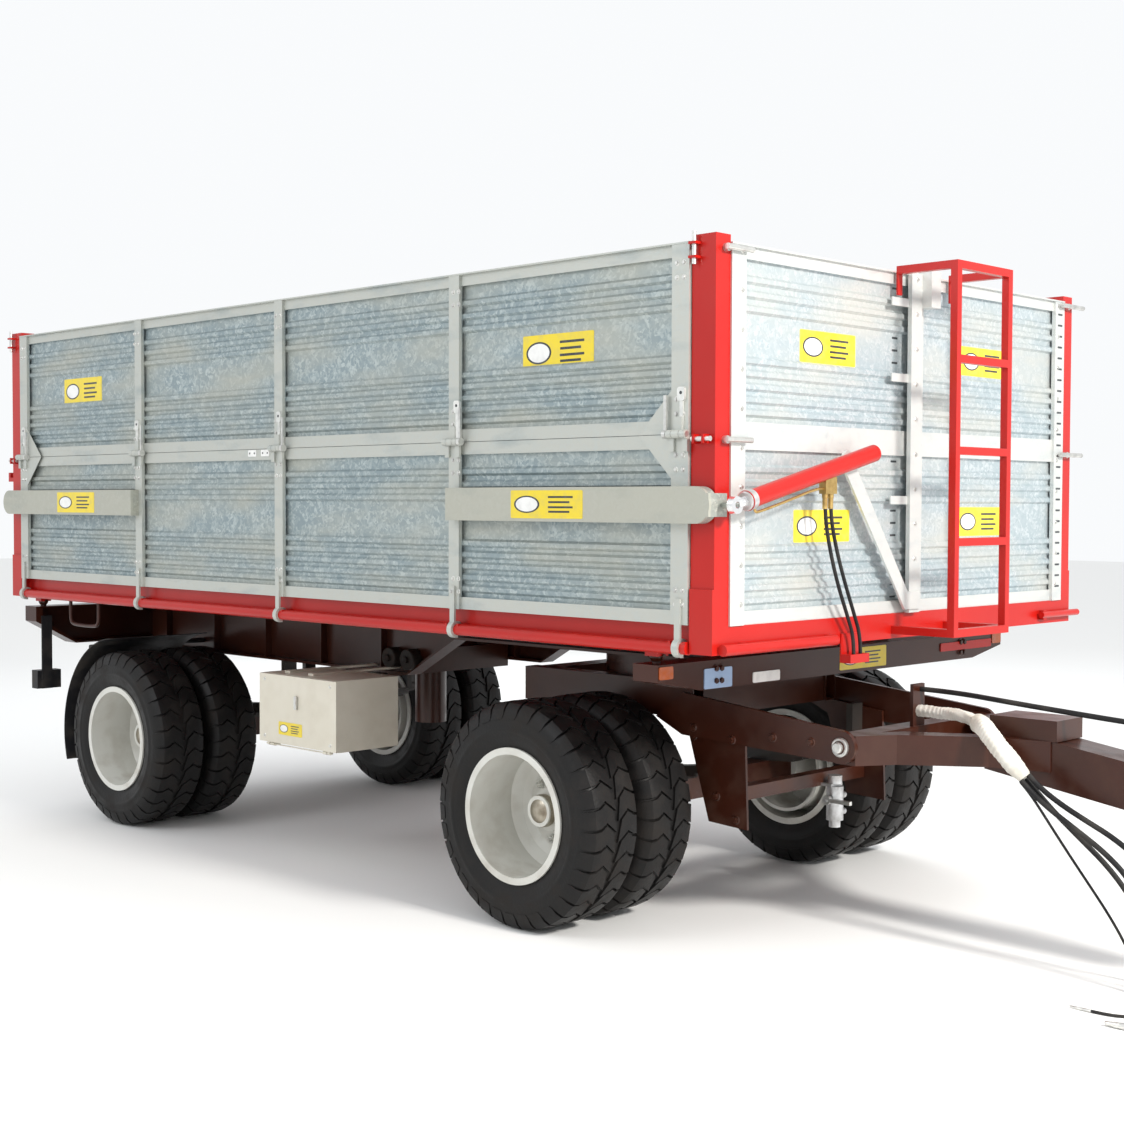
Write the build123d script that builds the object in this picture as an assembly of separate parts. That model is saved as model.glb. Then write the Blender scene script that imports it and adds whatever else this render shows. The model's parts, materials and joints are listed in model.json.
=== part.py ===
"""Two-axle, twin-tyre, three-way tipping farm trailer with high galvanised drop sides.

Millimetres. +X points forward to the drawbar, +Y to the left, +Z up. The ground is z = 0, and
the origin is below the middle of the trailer's length and width. Most places along the
trailer are given as a distance behind the front plane of the body, turned into x by at().
"""
from build123d import *
import os
from math import atan2, cos, degrees, hypot, pi, radians, sin, tan

# ---- overall sizes -------------------------------------------------------------------------
BODY_LENGTH = 4970.0        # over the corner posts
BODY_WIDTH = 2470.0         # over the corner posts
DRAWBAR_REACH = 1562.0      # front plane of the body to the tip of the tow eye
REAR_REACH = 100.0          # rear hooks behind the body
SIDE_REACH = 57.0           # lifting arms and left locking pins beyond the posts
TIER_HEIGHT = 656.0         # one tier of boards
TIER_GAP = 2.0              # between tiers, and between boards and platform
RIM_TOP = 1247.0            # top of the platform rim above ground
RIM_HEIGHT = 97.0

# ---- running gear --------------------------------------------------------------------------
TYRE_RADIUS = 447.5
TYRE_WIDTH = 285.0
TWIN_SPACING = 320.0        # between the two tyres of a pair, centre to centre
OUTER_TYRE_Y = 1037.0       # centre of the outer tyre
BEAD_RADIUS = 250.0
BEAD_GAP = 0.3              # tyre bead to rim seat
RIM_WALL = 9.0
FLANGE_HEIGHT = 18.0
AXLE_TUBE = 110.0           # square axle beam
SPINDLE_RADIUS = 40.0
RUNNING = 0.05              # radial running clearance of every shaft in its hole
HUB_RADIUS = 105.0
DRUM_RADIUS = 205.0
FRONT_AXLE_BACK = 1068.0    # behind the front plane of the body
REAR_AXLE_BACK = 4030.0

# ---- boards --------------------------------------------------------------------------------
BOARD_DEPTH = 40.0
RAIL_HEIGHT = 48.0
FOLD_WALL = 3.0             # folded steel of the rails and stanchions
SHEET = 2.5                 # ribbed sheet
RIB_DEPTH = 10.0
RIB_BASE = 34.0
RIB_CROWN = 16.0
STANCHION_WIDTH = 60.0
STANCHION_PROUD = 12.0      # stanchions stand proud of the rails
END_WIDTH = 78.0
LIP = 14.0
POST_LENGTH = 105.0         # along X
POST_WIDTH = 78.0           # along Y
POST_WALL = 6.0
POST_RISE = 20.0            # posts above the top board
SOCKET_HEIGHT = 225.0
POST_GAP = 3.0              # board ends to posts
SIDE_BAYS = 4
REAR_BAYS = 2

# ---- hinges --------------------------------------------------------------------------------
TUBE_RADIUS = 22.5
TUBE_OUT = 5.0              # tube axis outside the board's outer face
TUBE_DROP = 79.0            # tube axis below the rim's top
HOOK_THICK = 11.0
HOOK_WIDTH = 26.0
RIM_INSET = 35.0            # rim face inside the board's outer face
RIM_RAIL = 50.0
PLATFORM_WALL = 5.0
SPAR_Y = 380.0              # long members under the floor
SPAR_HALF = 35.0
CROSS_HALF = 32.0
CROSS_BACK = (360.0, 860.0, 1370.0, 1880.0, 2390.0, 2900.0, 3410.0, 3920.0, 4430.0, 4850.0)
FLOOR = 4.0
FLOOR_DROP = 3.0            # floor plate below the rim's top
HOSE_BLOCK_TOP = 1110.0
KNUCKLE_OUT = 27.0          # mid hinge axis outside the board's outer face
KNUCKLE_RADIUS = 15.0
MID_PIN_RADIUS = 10.0
LEVER_LENGTH = 135.0

# ---- chassis -------------------------------------------------------------------------------
WEB_Y = 450.0
WEB = 12.0
BEAM_WIDTH = 90.0
FLANGE = 12.0
BEAM_TOP = 1120.0
THIN_BOTTOM = 1034.0        # lower edge over the turntable
DEEP_BOTTOM = 842.0         # lower edge behind the crank
CRANK_FRONT = 2158.0
CRANK_REAR = 2503.0
BOLSTER_DEPTH = 120.0       # head beam and rear beam along X
BOLSTER_TOP = 1092.0
BOLSTER_HALF = 1180.0
HEAD_BACK = 300.0
REAR_BEAM_BACK = 4830.0
REAR_BALL = 30.0            # rear balls behind the rear beam's front face
BEAM_WALL = 8.0
BALL_RADIUS = 26.0
BALL_Y = 1120.0             # tipping axis
BALL_Z = 1120.0
BALL_CLEAR = 0.3
TIP_PIN = 8.0               # radius of the locking pin through ball and cup
RING_RADIUS = 430.0
RING_WIDTH = 90.0
RING_HEIGHT = 44.0
RING_GAP = 0.5

# ---- tipping ram ---------------------------------------------------------------------------
RAM_BACK = 2900.0
RAM_PIVOT_Z = 870.0
RAM_TOP_Z = 1108.0
RAM_BOTTOM_Z = 540.0
RAM_RADII = (80.0, 64.0, 48.0)
RAM_BORE_GAP = 0.05
RAM_RING = 76.0             # inner radius of the ring over the ram's ball
TRUNNION_RADIUS = 25.0
RAM_BEAM_GAP = 12.0

# ---- side cylinder -------------------------------------------------------------------------
CYLINDER_X = 72.0           # in front of the front plane
CYLINDER_PIVOT = (-510.0, 1830.0)
CYLINDER_RADIUS = 32.0
ROD_RADIUS = 18.0
ARM_PIN = (-1215.0, 1663.0)
ARM_HEIGHT = 127.0
PIN_RADIUS = 12.0
OPEN_PIVOT_GAP = 2.0
VALVE_GAP = 0.2             # valve block to barrel
VALVE_BOTTOM = 1704.0
VALVE_Y_SPAN = (-718.0, -650.0)

# ---- drawbar -------------------------------------------------------------------------------
DRAWBAR_PIVOT = (15.0, 765.0)       # x in front of the front plane, z
CHEEK = 20.0                        # hinge cheeks, outside the bogie's rails
EYE_BORE = 20.0
EYE_RADIUS = 62.0
EYE_HEIGHT = 30.0
BEAM_KINK = 380.0                   # where the box beam starts to slope
BEAM_SLOPE = 8.5
BEAM_END = 1420.0                   # in front of the front plane, where the eye's plate starts
HOLDER_TOP = 848.0                  # hose holder near the beam's end
MAST = 62.0                         # front face of the hose mast

# ---- front wall and ladder -----------------------------------------------------------------
CENTRE_POST_Y = -47.0
POST_DEPTH = 18.0           # centre post in front of the wall's lip
LADDER_X = 262.0            # in front of the front plane
LADDER_LEFT = 220.0         # middle of each stile
LADDER_RIGHT = -150.0
LADDER_TUBE = 30.0
LADDER_BOTTOM = 1168.0
RUNG_STEP = 343.0

# ---- springs and bogie ---------------------------------------------------------------------
SPRING_Y = 430.0
SPRING_WIDTH = 75.0
SPRING_HALF = 500.0         # middle of the spring to its eye
LEAF = 11.0
LEAVES = 7
SPRING_RISE = 62.0          # eyes above the middle leaf
SPRING_SEAT = 800.0
RAIL_IN = 415.0             # bogie rails, both faces
RAIL_OUT = 490.0
HINGE_PIN = 25.0
TIE_BACK = (550.0, 610.0)   # tie bar under the drawbar
TIE_Z = 474.0
VALVE_BACK = 505.0
VALVE_Y = 190.0

# ---- tool box, mudguards and hoses ---------------------------------------------------------
BOX_BACK = (2319.0, 2900.0)
BOX_Y = (-1060.0, -700.0)
BOX_Z = (545.0, 867.0)
BOX_WALL = 2.5
LID_GAP = 1.0
LID = 22.0                  # depth of the folded lid
GUARD_RADIUS = 512.0
GUARD = 4.0
HOSE = 20.0                 # outside diameters
THIN_HOSE = 14.0
WIRE = 10.0

TOTAL = DRAWBAR_REACH + BODY_LENGTH + REAR_REACH
FRONT = TOTAL / 2 - DRAWBAR_REACH
HALF = BODY_WIDTH / 2
AXLE_Z = TYRE_RADIUS
PLATFORM_BOTTOM = RIM_TOP - RIM_HEIGHT
BOARD_Z = RIM_TOP + TIER_GAP
MID_Z = BOARD_Z + TIER_HEIGHT + TIER_GAP / 2
UPPER_Z = MID_Z + TIER_GAP / 2
TOP_Z = UPPER_Z + TIER_HEIGHT
SIDE_LENGTH = BODY_LENGTH - 2 * (POST_LENGTH + POST_GAP)
END_LENGTH = BODY_WIDTH - 2 * (POST_WIDTH + POST_GAP)
TUBE_Z = RIM_TOP - TUBE_DROP
ARM_OUT = HALF + SIDE_REACH


def at(back):
    """x of a place that lies back millimetres behind the front plane of the body."""
    return FRONT - back


def block(x, y, z):
    """A box between three (low, high) pairs."""
    sizes = [high - low for low, high in (x, y, z)]
    return Pos(*[sum(pair) / 2 for pair in (x, y, z)]) * Box(*sizes)


def rod_x(x0, x1, y, z, radius):
    return Pos((x0 + x1) / 2, y, z) * Rot(0, 90, 0) * Cylinder(radius, abs(x1 - x0))


def rod_y(y0, y1, x, z, radius):
    return Pos(x, (y0 + y1) / 2, z) * Rot(90, 0, 0) * Cylinder(radius, abs(y1 - y0))


def rod_z(z0, z1, x, y, radius):
    return Pos(x, y, (z0 + z1) / 2) * Cylinder(radius, abs(z1 - z0))


def plate_xz(points, y0, y1):
    """A plate with an (x, z) outline between two values of y."""
    face = make_face(Polyline([(x, 0, z) for x, z in points], close=True))
    return Pos(0, y0, 0) * extrude(face, amount=y1 - y0, dir=(0, 1, 0))


def plate_yz(points, x0, x1):
    """A plate with a (y, z) outline between two values of x."""
    face = make_face(Polyline([(0, y, z) for y, z in points], close=True))
    return Pos(x0, 0, 0) * extrude(face, amount=x1 - x0, dir=(1, 0, 0))


def plate_xy(points, z0, z1):
    """A plate with an (x, y) outline between two heights."""
    face = make_face(Polyline([(x, y, 0) for x, y in points], close=True))
    return Pos(0, 0, z0) * extrude(face, amount=z1 - z0, dir=(0, 0, 1))


def tube(x, y, z, along, wall):
    """A hollow box section, open at both ends along one of the axes "x", "y" or "z"."""
    inner = []
    for name, (low, high) in zip("xyz", (x, y, z)):
        inner.append((low - 1, high + 1) if name == along else (low + wall, high - wall))
    return block(x, y, z) - block(*inner)


def fuse(parts):
    return parts[0] + list(parts[1:])


def left(part):
    """The same part on the left side of the trailer."""
    return mirror(part, about=Plane.XZ)


def save(name, *parts):
    solids = [solid for part in parts for solid in part.solids()]
    export_step(Compound(solids), f"parts/{name}.step")


# ---- boards --------------------------------------------------------------------------------
def stanchions(length, bays):
    """Places of the stanchions along a board, from its middle."""
    end = length / 2 - END_WIDTH / 2
    return [end * (2 * i / bays - 1) for i in range(bays + 1)]


def sheet_outline():
    """Outer line of the ribbed sheet as (y, z): ribs, a flat band, then ribs again."""
    low, high = RAIL_HEIGHT, TIER_HEIGHT - RAIL_HEIGHT
    seat = STANCHION_PROUD / 2 + RIB_DEPTH
    span = high - low
    centres = [low + span * share for share in (0.06, 0.14, 0.22, 0.30, 0.38, 0.70, 0.79, 0.88)]
    line = [(seat, low)]
    for centre in centres:
        line += [(seat, centre - RIB_BASE / 2), (seat - RIB_DEPTH, centre - RIB_CROWN / 2),
                 (seat - RIB_DEPTH, centre + RIB_CROWN / 2), (seat, centre + RIB_BASE / 2)]
    return line + [(seat, high)]


def board_sheet(length):
    outer = sheet_outline()
    inner = [(y + SHEET, z) for y, z in reversed(outer)]
    return plate_yz(outer + inner, -length / 2 + FOLD_WALL, length / 2 - FOLD_WALL)


def channel(x, y, z, wall):
    """A folded channel whose open side faces the inside of the body."""
    inner = block((x[0] + wall, x[1] - wall), (y[0] + wall, y[1] + 1), (z[0] + wall, z[1] - wall))
    return block(x, y, z) - inner


def board_frame(length, bays, lip=True):
    """Rails, stanchions and end plates of one tier; outer face at y = 0, outwards is -Y."""
    half = length / 2
    parts = [channel((-half, half), (0, BOARD_DEPTH), z, FOLD_WALL)
             for z in ((0, RAIL_HEIGHT), (TIER_HEIGHT - RAIL_HEIGHT, TIER_HEIGHT))]
    for side in (-1, 1):
        ends = sorted((side * half, side * (half - FOLD_WALL)))
        parts.append(block(ends, (0, BOARD_DEPTH), (0, TIER_HEIGHT)))
    for place in stanchions(length, bays):
        width = END_WIDTH if abs(place) > half - END_WIDTH else STANCHION_WIDTH
        x = (place - width / 2, place + width / 2)
        parts.append(channel(x, (-STANCHION_PROUD, STANCHION_PROUD / 2), (0, TIER_HEIGHT), FOLD_WALL))
    if lip:
        z = (TIER_HEIGHT - 2 * FOLD_WALL, TIER_HEIGHT)
        parts.append(block((-half, half), (-LIP, FOLD_WALL), z))
    return fuse(parts)


def gussets(length, up):
    """Corner plates beside the end stanchions, along the mid joint."""
    plates = []
    for side in (-1, 1):
        inner = side * (length / 2 - END_WIDTH)
        reach = inner - side * 150.0
        edge, far = (0, 150.0) if up else (TIER_HEIGHT, TIER_HEIGHT - 150.0)
        outline = [(inner, edge), (reach, edge), (inner, far)]
        plates.append(plate_xz(outline, -STANCHION_PROUD, -STANCHION_PROUD + FOLD_WALL))
    return plates


def knuckle(x0, x1, down):
    """Half of the mid hinge: a bored eye and its strap on the stanchion."""
    axis_z = TIER_HEIGHT + TIER_GAP / 2 if down else -TIER_GAP / 2
    strap_z = (axis_z - 60, axis_z) if down else (axis_z, axis_z + 60)
    strap = block((x0, x1), (-KNUCKLE_OUT + 5, -STANCHION_PROUD), strap_z)
    eye = rod_x(x0, x1, -KNUCKLE_OUT, axis_z, KNUCKLE_RADIUS)
    bore = rod_x(x0 - 1, x1 + 1, -KNUCKLE_OUT, axis_z, MID_PIN_RADIUS + RUNNING)
    return strap + eye - bore


def bottom_hook(place):
    """Hook from a lower board's stanchion round the hinge tube, open on its inner side."""
    x = (place - HOOK_WIDTH / 2, place + HOOK_WIDTH / 2)
    y, z = -TUBE_OUT, -TUBE_DROP - TIER_GAP
    bore = TUBE_RADIUS + 2 * RUNNING
    ring = rod_x(*x, y, z, bore + HOOK_THICK)
    strap = block(x, (-STANCHION_PROUD - 10, -STANCHION_PROUD), (z + bore + 4, 90))
    mouth = block((x[0] - 1, x[1] + 1), (y + 4, y + 60), (z - 60, z + 16))
    return ring + strap - rod_x(x[0] - 1, x[1] + 1, y, z, bore) - mouth


def lower_board(length, bays):
    frame = [board_frame(length, bays, lip=False)] + gussets(length, up=False)
    for place in stanchions(length, bays):
        frame += [knuckle(place - 42, place - 19, True), knuckle(place + 19, place + 42, True)]
        frame.append(bottom_hook(place))
    return [fuse(frame), board_sheet(length)]


def upper_board(length, bays):
    frame = [board_frame(length, bays)] + gussets(length, up=True)
    frame += [knuckle(place - 17, place + 17, False) for place in stanchions(length, bays)]
    return [fuse(frame), board_sheet(length)]


def levers(length, bays):
    """Mid hinge pins with their handles, one at each stanchion."""
    made = []
    for place in stanchions(length, bays):
        side = -1 if place > length / 4 else 1
        pin = rod_x(place - side * 44, place + side * 60, -KNUCKLE_OUT, 0, MID_PIN_RADIUS)
        hub = rod_x(place + side * 44, place + side * 60, -KNUCKLE_OUT, 0, KNUCKLE_RADIUS)
        grip_x = sorted((place + side * 46, place + side * 58))
        grip = block(grip_x, (-KNUCKLE_OUT - 5, -KNUCKLE_OUT + 5), (0, LEVER_LENGTH))
        made.append(fuse([pin, hub, grip]))
    return made


PLACE = {
    "right": Pos(at(BODY_LENGTH / 2), -HALF, 0),
    "left": Pos(at(BODY_LENGTH / 2), HALF, 0) * Rot(0, 0, 180),
    "rear": Pos(at(BODY_LENGTH), 0, 0) * Rot(0, 0, -90),
}
SIDES = {"right": (SIDE_LENGTH, SIDE_BAYS), "left": (SIDE_LENGTH, SIDE_BAYS),
         "rear": (END_LENGTH, REAR_BAYS)}


def boards():
    for side, (length, bays) in SIDES.items():
        place = PLACE[side]
        save(f"{side}_lower_board", *[place * Pos(0, 0, BOARD_Z) * p for p in lower_board(length, bays)])
        save(f"{side}_upper_board", *[place * Pos(0, 0, UPPER_Z) * p for p in upper_board(length, bays)])
        save(f"{side}_lock_levers", *[place * Pos(0, 0, MID_Z) * p for p in levers(length, bays)])


def lifting_arms():
    """Folded arms on the right lower board; the front one carries the cylinder's pin."""
    inner, outer = -HALF - STANCHION_PROUD, -ARM_OUT
    low, high = ARM_PIN[1] - ARM_HEIGHT / 2, ARM_PIN[1] + ARM_HEIGHT / 2
    wall = 6.0
    board_middle = at(BODY_LENGTH / 2)
    places = [board_middle + p for p in stanchions(SIDE_LENGTH, SIDE_BAYS)]
    arms = []
    for start, tip in ((places[3], at(0) - 40), (places[1], at(BODY_LENGTH) + 60)):
        x = sorted((start, tip))
        arm = block(x, (outer, inner), (low, high)) + rod_y(outer, inner, tip, ARM_PIN[1], ARM_HEIGHT / 2)
        hollow = block((x[0] + wall, x[1] - wall), (outer + wall, inner + 1), (low + wall, high - wall))
        arms.append(arm - hollow)
    plate_x = (at(0) + 6, at(0) + 20)
    end_plate = block(plate_x, (outer, ARM_PIN[0] + 22), (ARM_PIN[1] - 40, ARM_PIN[1] + 40))
    pin_end = at(0) + CYLINDER_X - 12 - OPEN_PIVOT_GAP
    pin = rod_x(plate_x[0], pin_end, *ARM_PIN, PIN_RADIUS)
    save("lifting_arms", fuse([arms[0], end_plate, pin]), arms[1])


# ---- platform ------------------------------------------------------------------------------
def platform():
    """Red welded frame of hollow members, each a solid that meets its neighbours face to face."""
    x_rear, x_front = at(BODY_LENGTH - POST_LENGTH), at(POST_LENGTH)
    rim_y = HALF - RIM_INSET
    inner_y = rim_y - RIM_RAIL
    rail_half = HALF - POST_WIDTH
    back = at(BODY_LENGTH - RIM_INSET)
    z = (PLATFORM_BOTTOM, RIM_TOP)
    grid_z = (PLATFORM_BOTTOM, RIM_TOP - FLOOR_DROP - FLOOR)
    ends = (back + RIM_RAIL, at(RIM_RAIL))
    members = [tube((x_rear, x_front), side, z, "x", PLATFORM_WALL)
               for side in ((-rim_y, -inner_y), (inner_y, rim_y))]
    members.append(tube((at(RIM_RAIL), at(0)), (-inner_y, inner_y), z, "y", PLATFORM_WALL))
    members.append(tube((back, back + RIM_RAIL), (-inner_y, inner_y), z, "y", PLATFORM_WALL))
    for edge in (at(RIM_RAIL), back):
        for side in ((-rail_half, -inner_y), (inner_y, rail_half)):
            x = (max(edge, x_front), edge + RIM_RAIL) if edge > 0 else (edge, min(edge + RIM_RAIL, x_rear))
            members.append(block(x, side, z))
    for y in (-SPAR_Y, SPAR_Y):
        members.append(tube(ends, (y - SPAR_HALF, y + SPAR_HALF), grid_z, "x", PLATFORM_WALL))
    lanes = ((-inner_y, -SPAR_Y - SPAR_HALF), (SPAR_HALF - SPAR_Y, SPAR_Y - SPAR_HALF),
             (SPAR_Y + SPAR_HALF, inner_y))
    for spread in CROSS_BACK:
        x = (at(spread) - CROSS_HALF, at(spread) + CROSS_HALF)
        members += [tube(x, lane, grid_z, "y", PLATFORM_WALL) for lane in lanes]
    save("platform_frame", *members, *ball_cups(), *front_fittings())
    save("hinge_tubes", *hinge_tubes())
    floor_z = (grid_z[1], grid_z[1] + FLOOR)
    save("platform_floor", block(ends, (-inner_y, inner_y), floor_z))


def hinge_tubes():
    """Round hinge tubes along the right, left and rear rims, held by pairs of ears."""
    made = []
    for side, (length, bays) in SIDES.items():
        parts = [rod_x(-length / 2, length / 2, -TUBE_OUT, TUBE_Z, TUBE_RADIUS)]
        for place in stanchions(length, bays):
            for offset in (-34, 34):
                x = (place + offset - 5, place + offset + 5)
                parts.append(block(x, (-TUBE_OUT - 18, RIM_INSET), (TUBE_Z - 17, TUBE_Z + 24)))
        made.append(PLACE[side] * fuse(parts))
    return made


def ball_cups():
    """Cups that sit on the tipping balls from above, and the ring over the ram's ball."""
    cups = []
    for back in (HEAD_BACK + BOLSTER_DEPTH / 2, REAR_BEAM_BACK + REAR_BALL):
        for side in (-1, 1):
            y = side * BALL_Y
            cup = block((at(back) - 30, at(back) + 30), (y - 30, y + 30), (BALL_Z, PLATFORM_BOTTOM))
            cup -= Pos(at(back), y, BALL_Z) * Sphere(BALL_RADIUS + BALL_CLEAR)
            cups.append(cup - rod_x(at(back) - 31, at(back) + 31, y, BALL_Z, TIP_PIN + RUNNING))
    ring = rod_z(RAM_TOP_Z - 12, PLATFORM_BOTTOM, at(RAM_BACK), 0, RAM_RING + 18)
    cups.append(ring - rod_z(0, PLATFORM_BOTTOM + 1, at(RAM_BACK), 0, RAM_RING))
    return cups


def front_fittings():
    """Short hinge tube on the front rim, the pipe stub at its left end, and the hose block."""
    x = at(0) + 22
    tube_part = rod_y(-HALF + 20, -560, x, TUBE_Z, 20)
    feet = [block((at(0), x), y, (TUBE_Z - 16, TUBE_Z + 20)) for y in ((-600, -570), (-1100, -1080))]
    stub = rod_y(960, HALF + 40, x, TUBE_Z + 22, 14)
    stub_foot = block((at(0), x), (980, 1010), (TUBE_Z, TUBE_Z + 40))
    plate = block((at(0), at(0) + 6), (-500, -380), (1078, RIM_TOP - 60))
    hose_block = block((at(0), at(0) + 48), (-500, -380), (1078, HOSE_BLOCK_TOP))
    return [fuse([tube_part] + feet), fuse([stub, stub_foot]), fuse([plate, hose_block])]


def corner_posts():
    posts, pins = [], []
    for end, back in ((1, POST_LENGTH / 2), (-1, BODY_LENGTH - POST_LENGTH / 2)):
        x = at(back)
        for side in (-1, 1):
            y = side * (HALF - POST_WIDTH / 2)
            z = (PLATFORM_BOTTOM, TOP_Z + POST_RISE)
            tube = block((x - POST_LENGTH / 2, x + POST_LENGTH / 2),
                         (y - POST_WIDTH / 2, y + POST_WIDTH / 2), z)
            hollow = block((x - POST_LENGTH / 2 + POST_WALL, x + POST_LENGTH / 2 - POST_WALL),
                           (y - POST_WIDTH / 2 + POST_WALL, y + POST_WIDTH / 2 - POST_WALL),
                           (z[0] - 1, z[1] - POST_WALL))
            face = side * HALF
            socket = block((x - POST_LENGTH / 2 + 2, x + POST_LENGTH / 2),
                           sorted((face, face + side * 9)), (z[0], z[0] + SOCKET_HEIGHT))
            lugs = [block((x - 46, x - 14), sorted((face, face + side * 30)), (h, h + 9))
                    for h in (TOP_Z - 62, TOP_Z - 14)]
            lugs += [block(sorted((x + end * step, x + end * (step + 9))),
                           sorted((face, face + side * 32)), (MID_Z - 34, MID_Z - 2))
                     for step in (-24, 18)]
            parts = [tube, socket] + lugs
            if end < 0:
                hook_y = sorted((side * (HALF - 24), side * (HALF - 44)))
                tip = at(BODY_LENGTH + REAR_REACH)
                parts.append(block((tip, at(BODY_LENGTH)), hook_y, (MID_Z - 130, MID_Z - 108)))
                parts.append(block((tip, tip + 20), hook_y, (MID_Z - 130, MID_Z - 80)))
            upright = rod_z(TOP_Z - 82, TOP_Z + 30, x - 30, face + side * 17, 8)
            across = rod_x(x - end * 34, x + end * 48, face + side * 19, MID_Z - 18, 9)
            holes = [rod_z(TOP_Z - 90, TOP_Z + 40, x - 30, face + side * 17, 8.05),
                     rod_x(x - 60, x + 50, face + side * 19, MID_Z - 18, 9.05)]
            posts.append(fuse(parts) - hollow - holes[0] - holes[1])
            pins += [upright, across]
    save("corner_posts", *posts)
    save("post_pins", *pins, *front_pins())


def front_pins():
    """Locking pins across the front face of the front posts; the left ones stick out."""
    pins = []
    for z in (TOP_Z - 26, MID_Z - 20):
        pins.append(rod_y(-HALF + 30, -HALF + 170, at(0) + 24, z, 10))
        pins.append(rod_y(HALF - 130, ARM_OUT, at(0) + 24, z, 10))
    feet = [rod_x(at(0), at(0) + 15, -HALF + 50, z, 14) for z in (TOP_Z - 26, MID_Z - 20)]
    feet += [rod_x(at(0), at(0) + 15, HALF - 50, z, 14) for z in (TOP_Z - 26, MID_Z - 20)]
    joined = [fuse([pins[0], feet[0]]), fuse([pins[1], feet[2]]),
              fuse([pins[2], feet[1]]), fuse([pins[3], feet[3]])]
    return joined


FRONT_WALL = Pos(at(5), 0, 0) * Rot(0, 0, 90)


def front_wall():
    """Fixed front boards in two tiers, with the centre stanchion in front of them."""
    length = END_LENGTH + 2 * POST_GAP
    tiers = [FRONT_WALL * Pos(0, 0, z) * board_frame(length, 2, lip) for z, lip in
             ((RIM_TOP, False), (RIM_TOP + TIER_HEIGHT, True))]
    sheets = [FRONT_WALL * Pos(0, 0, z) * board_sheet(length)
              for z in (RIM_TOP, RIM_TOP + TIER_HEIGHT)]
    top = RIM_TOP + 2 * TIER_HEIGHT
    x0 = at(5) + LIP
    post = block((x0, x0 + POST_DEPTH), (CENTRE_POST_Y - 36, CENTRE_POST_Y + 36), (RIM_TOP, top))
    post -= block((x0 - 1, x0 + POST_DEPTH - 4), (CENTRE_POST_Y - 32, CENTRE_POST_Y + 32),
                  (RIM_TOP - 1, top + 1))
    cap = block((x0, x0 + 60), (CENTRE_POST_Y + 36, CENTRE_POST_Y + 101), (top - 130, top + 10))
    straps = [block((x0, x0 + 5), (CENTRE_POST_Y - 150, CENTRE_POST_Y - 36), (z, z + 32))
              for z in (RIM_TOP + 420, RIM_TOP + 890, RIM_TOP + 1180)]
    save("front_wall", *tiers, *sheets, post, cap, *straps)


def ladder():
    half = LADDER_TUBE / 2
    x = (at(0) + LADDER_X - half, at(0) + LADDER_X + half)
    top = RIM_TOP + 2 * TIER_HEIGHT + 18
    parts = []
    for y in (LADDER_RIGHT, LADDER_LEFT):
        wide = (y - half, y + half)
        parts.append(block(x, wide, (LADDER_BOTTOM, top)))
        parts.append(block((at(5) + LIP, x[1]), wide, (top - LADDER_TUBE, top)))
        parts.append(block((at(5) + LIP, at(5) + LIP + 8), wide, (top - 110, top)))
        parts.append(block((at(0), x[1]), wide, (LADDER_BOTTOM, LADDER_BOTTOM + LADDER_TUBE)))
    heights = [LADDER_BOTTOM + i * RUNG_STEP for i in range(4)] + [top - LADDER_TUBE]
    for z in heights:
        parts.append(block(x, (LADDER_RIGHT, LADDER_LEFT), (z, z + LADDER_TUBE)))
    save("ladder", fuse(parts))


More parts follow.
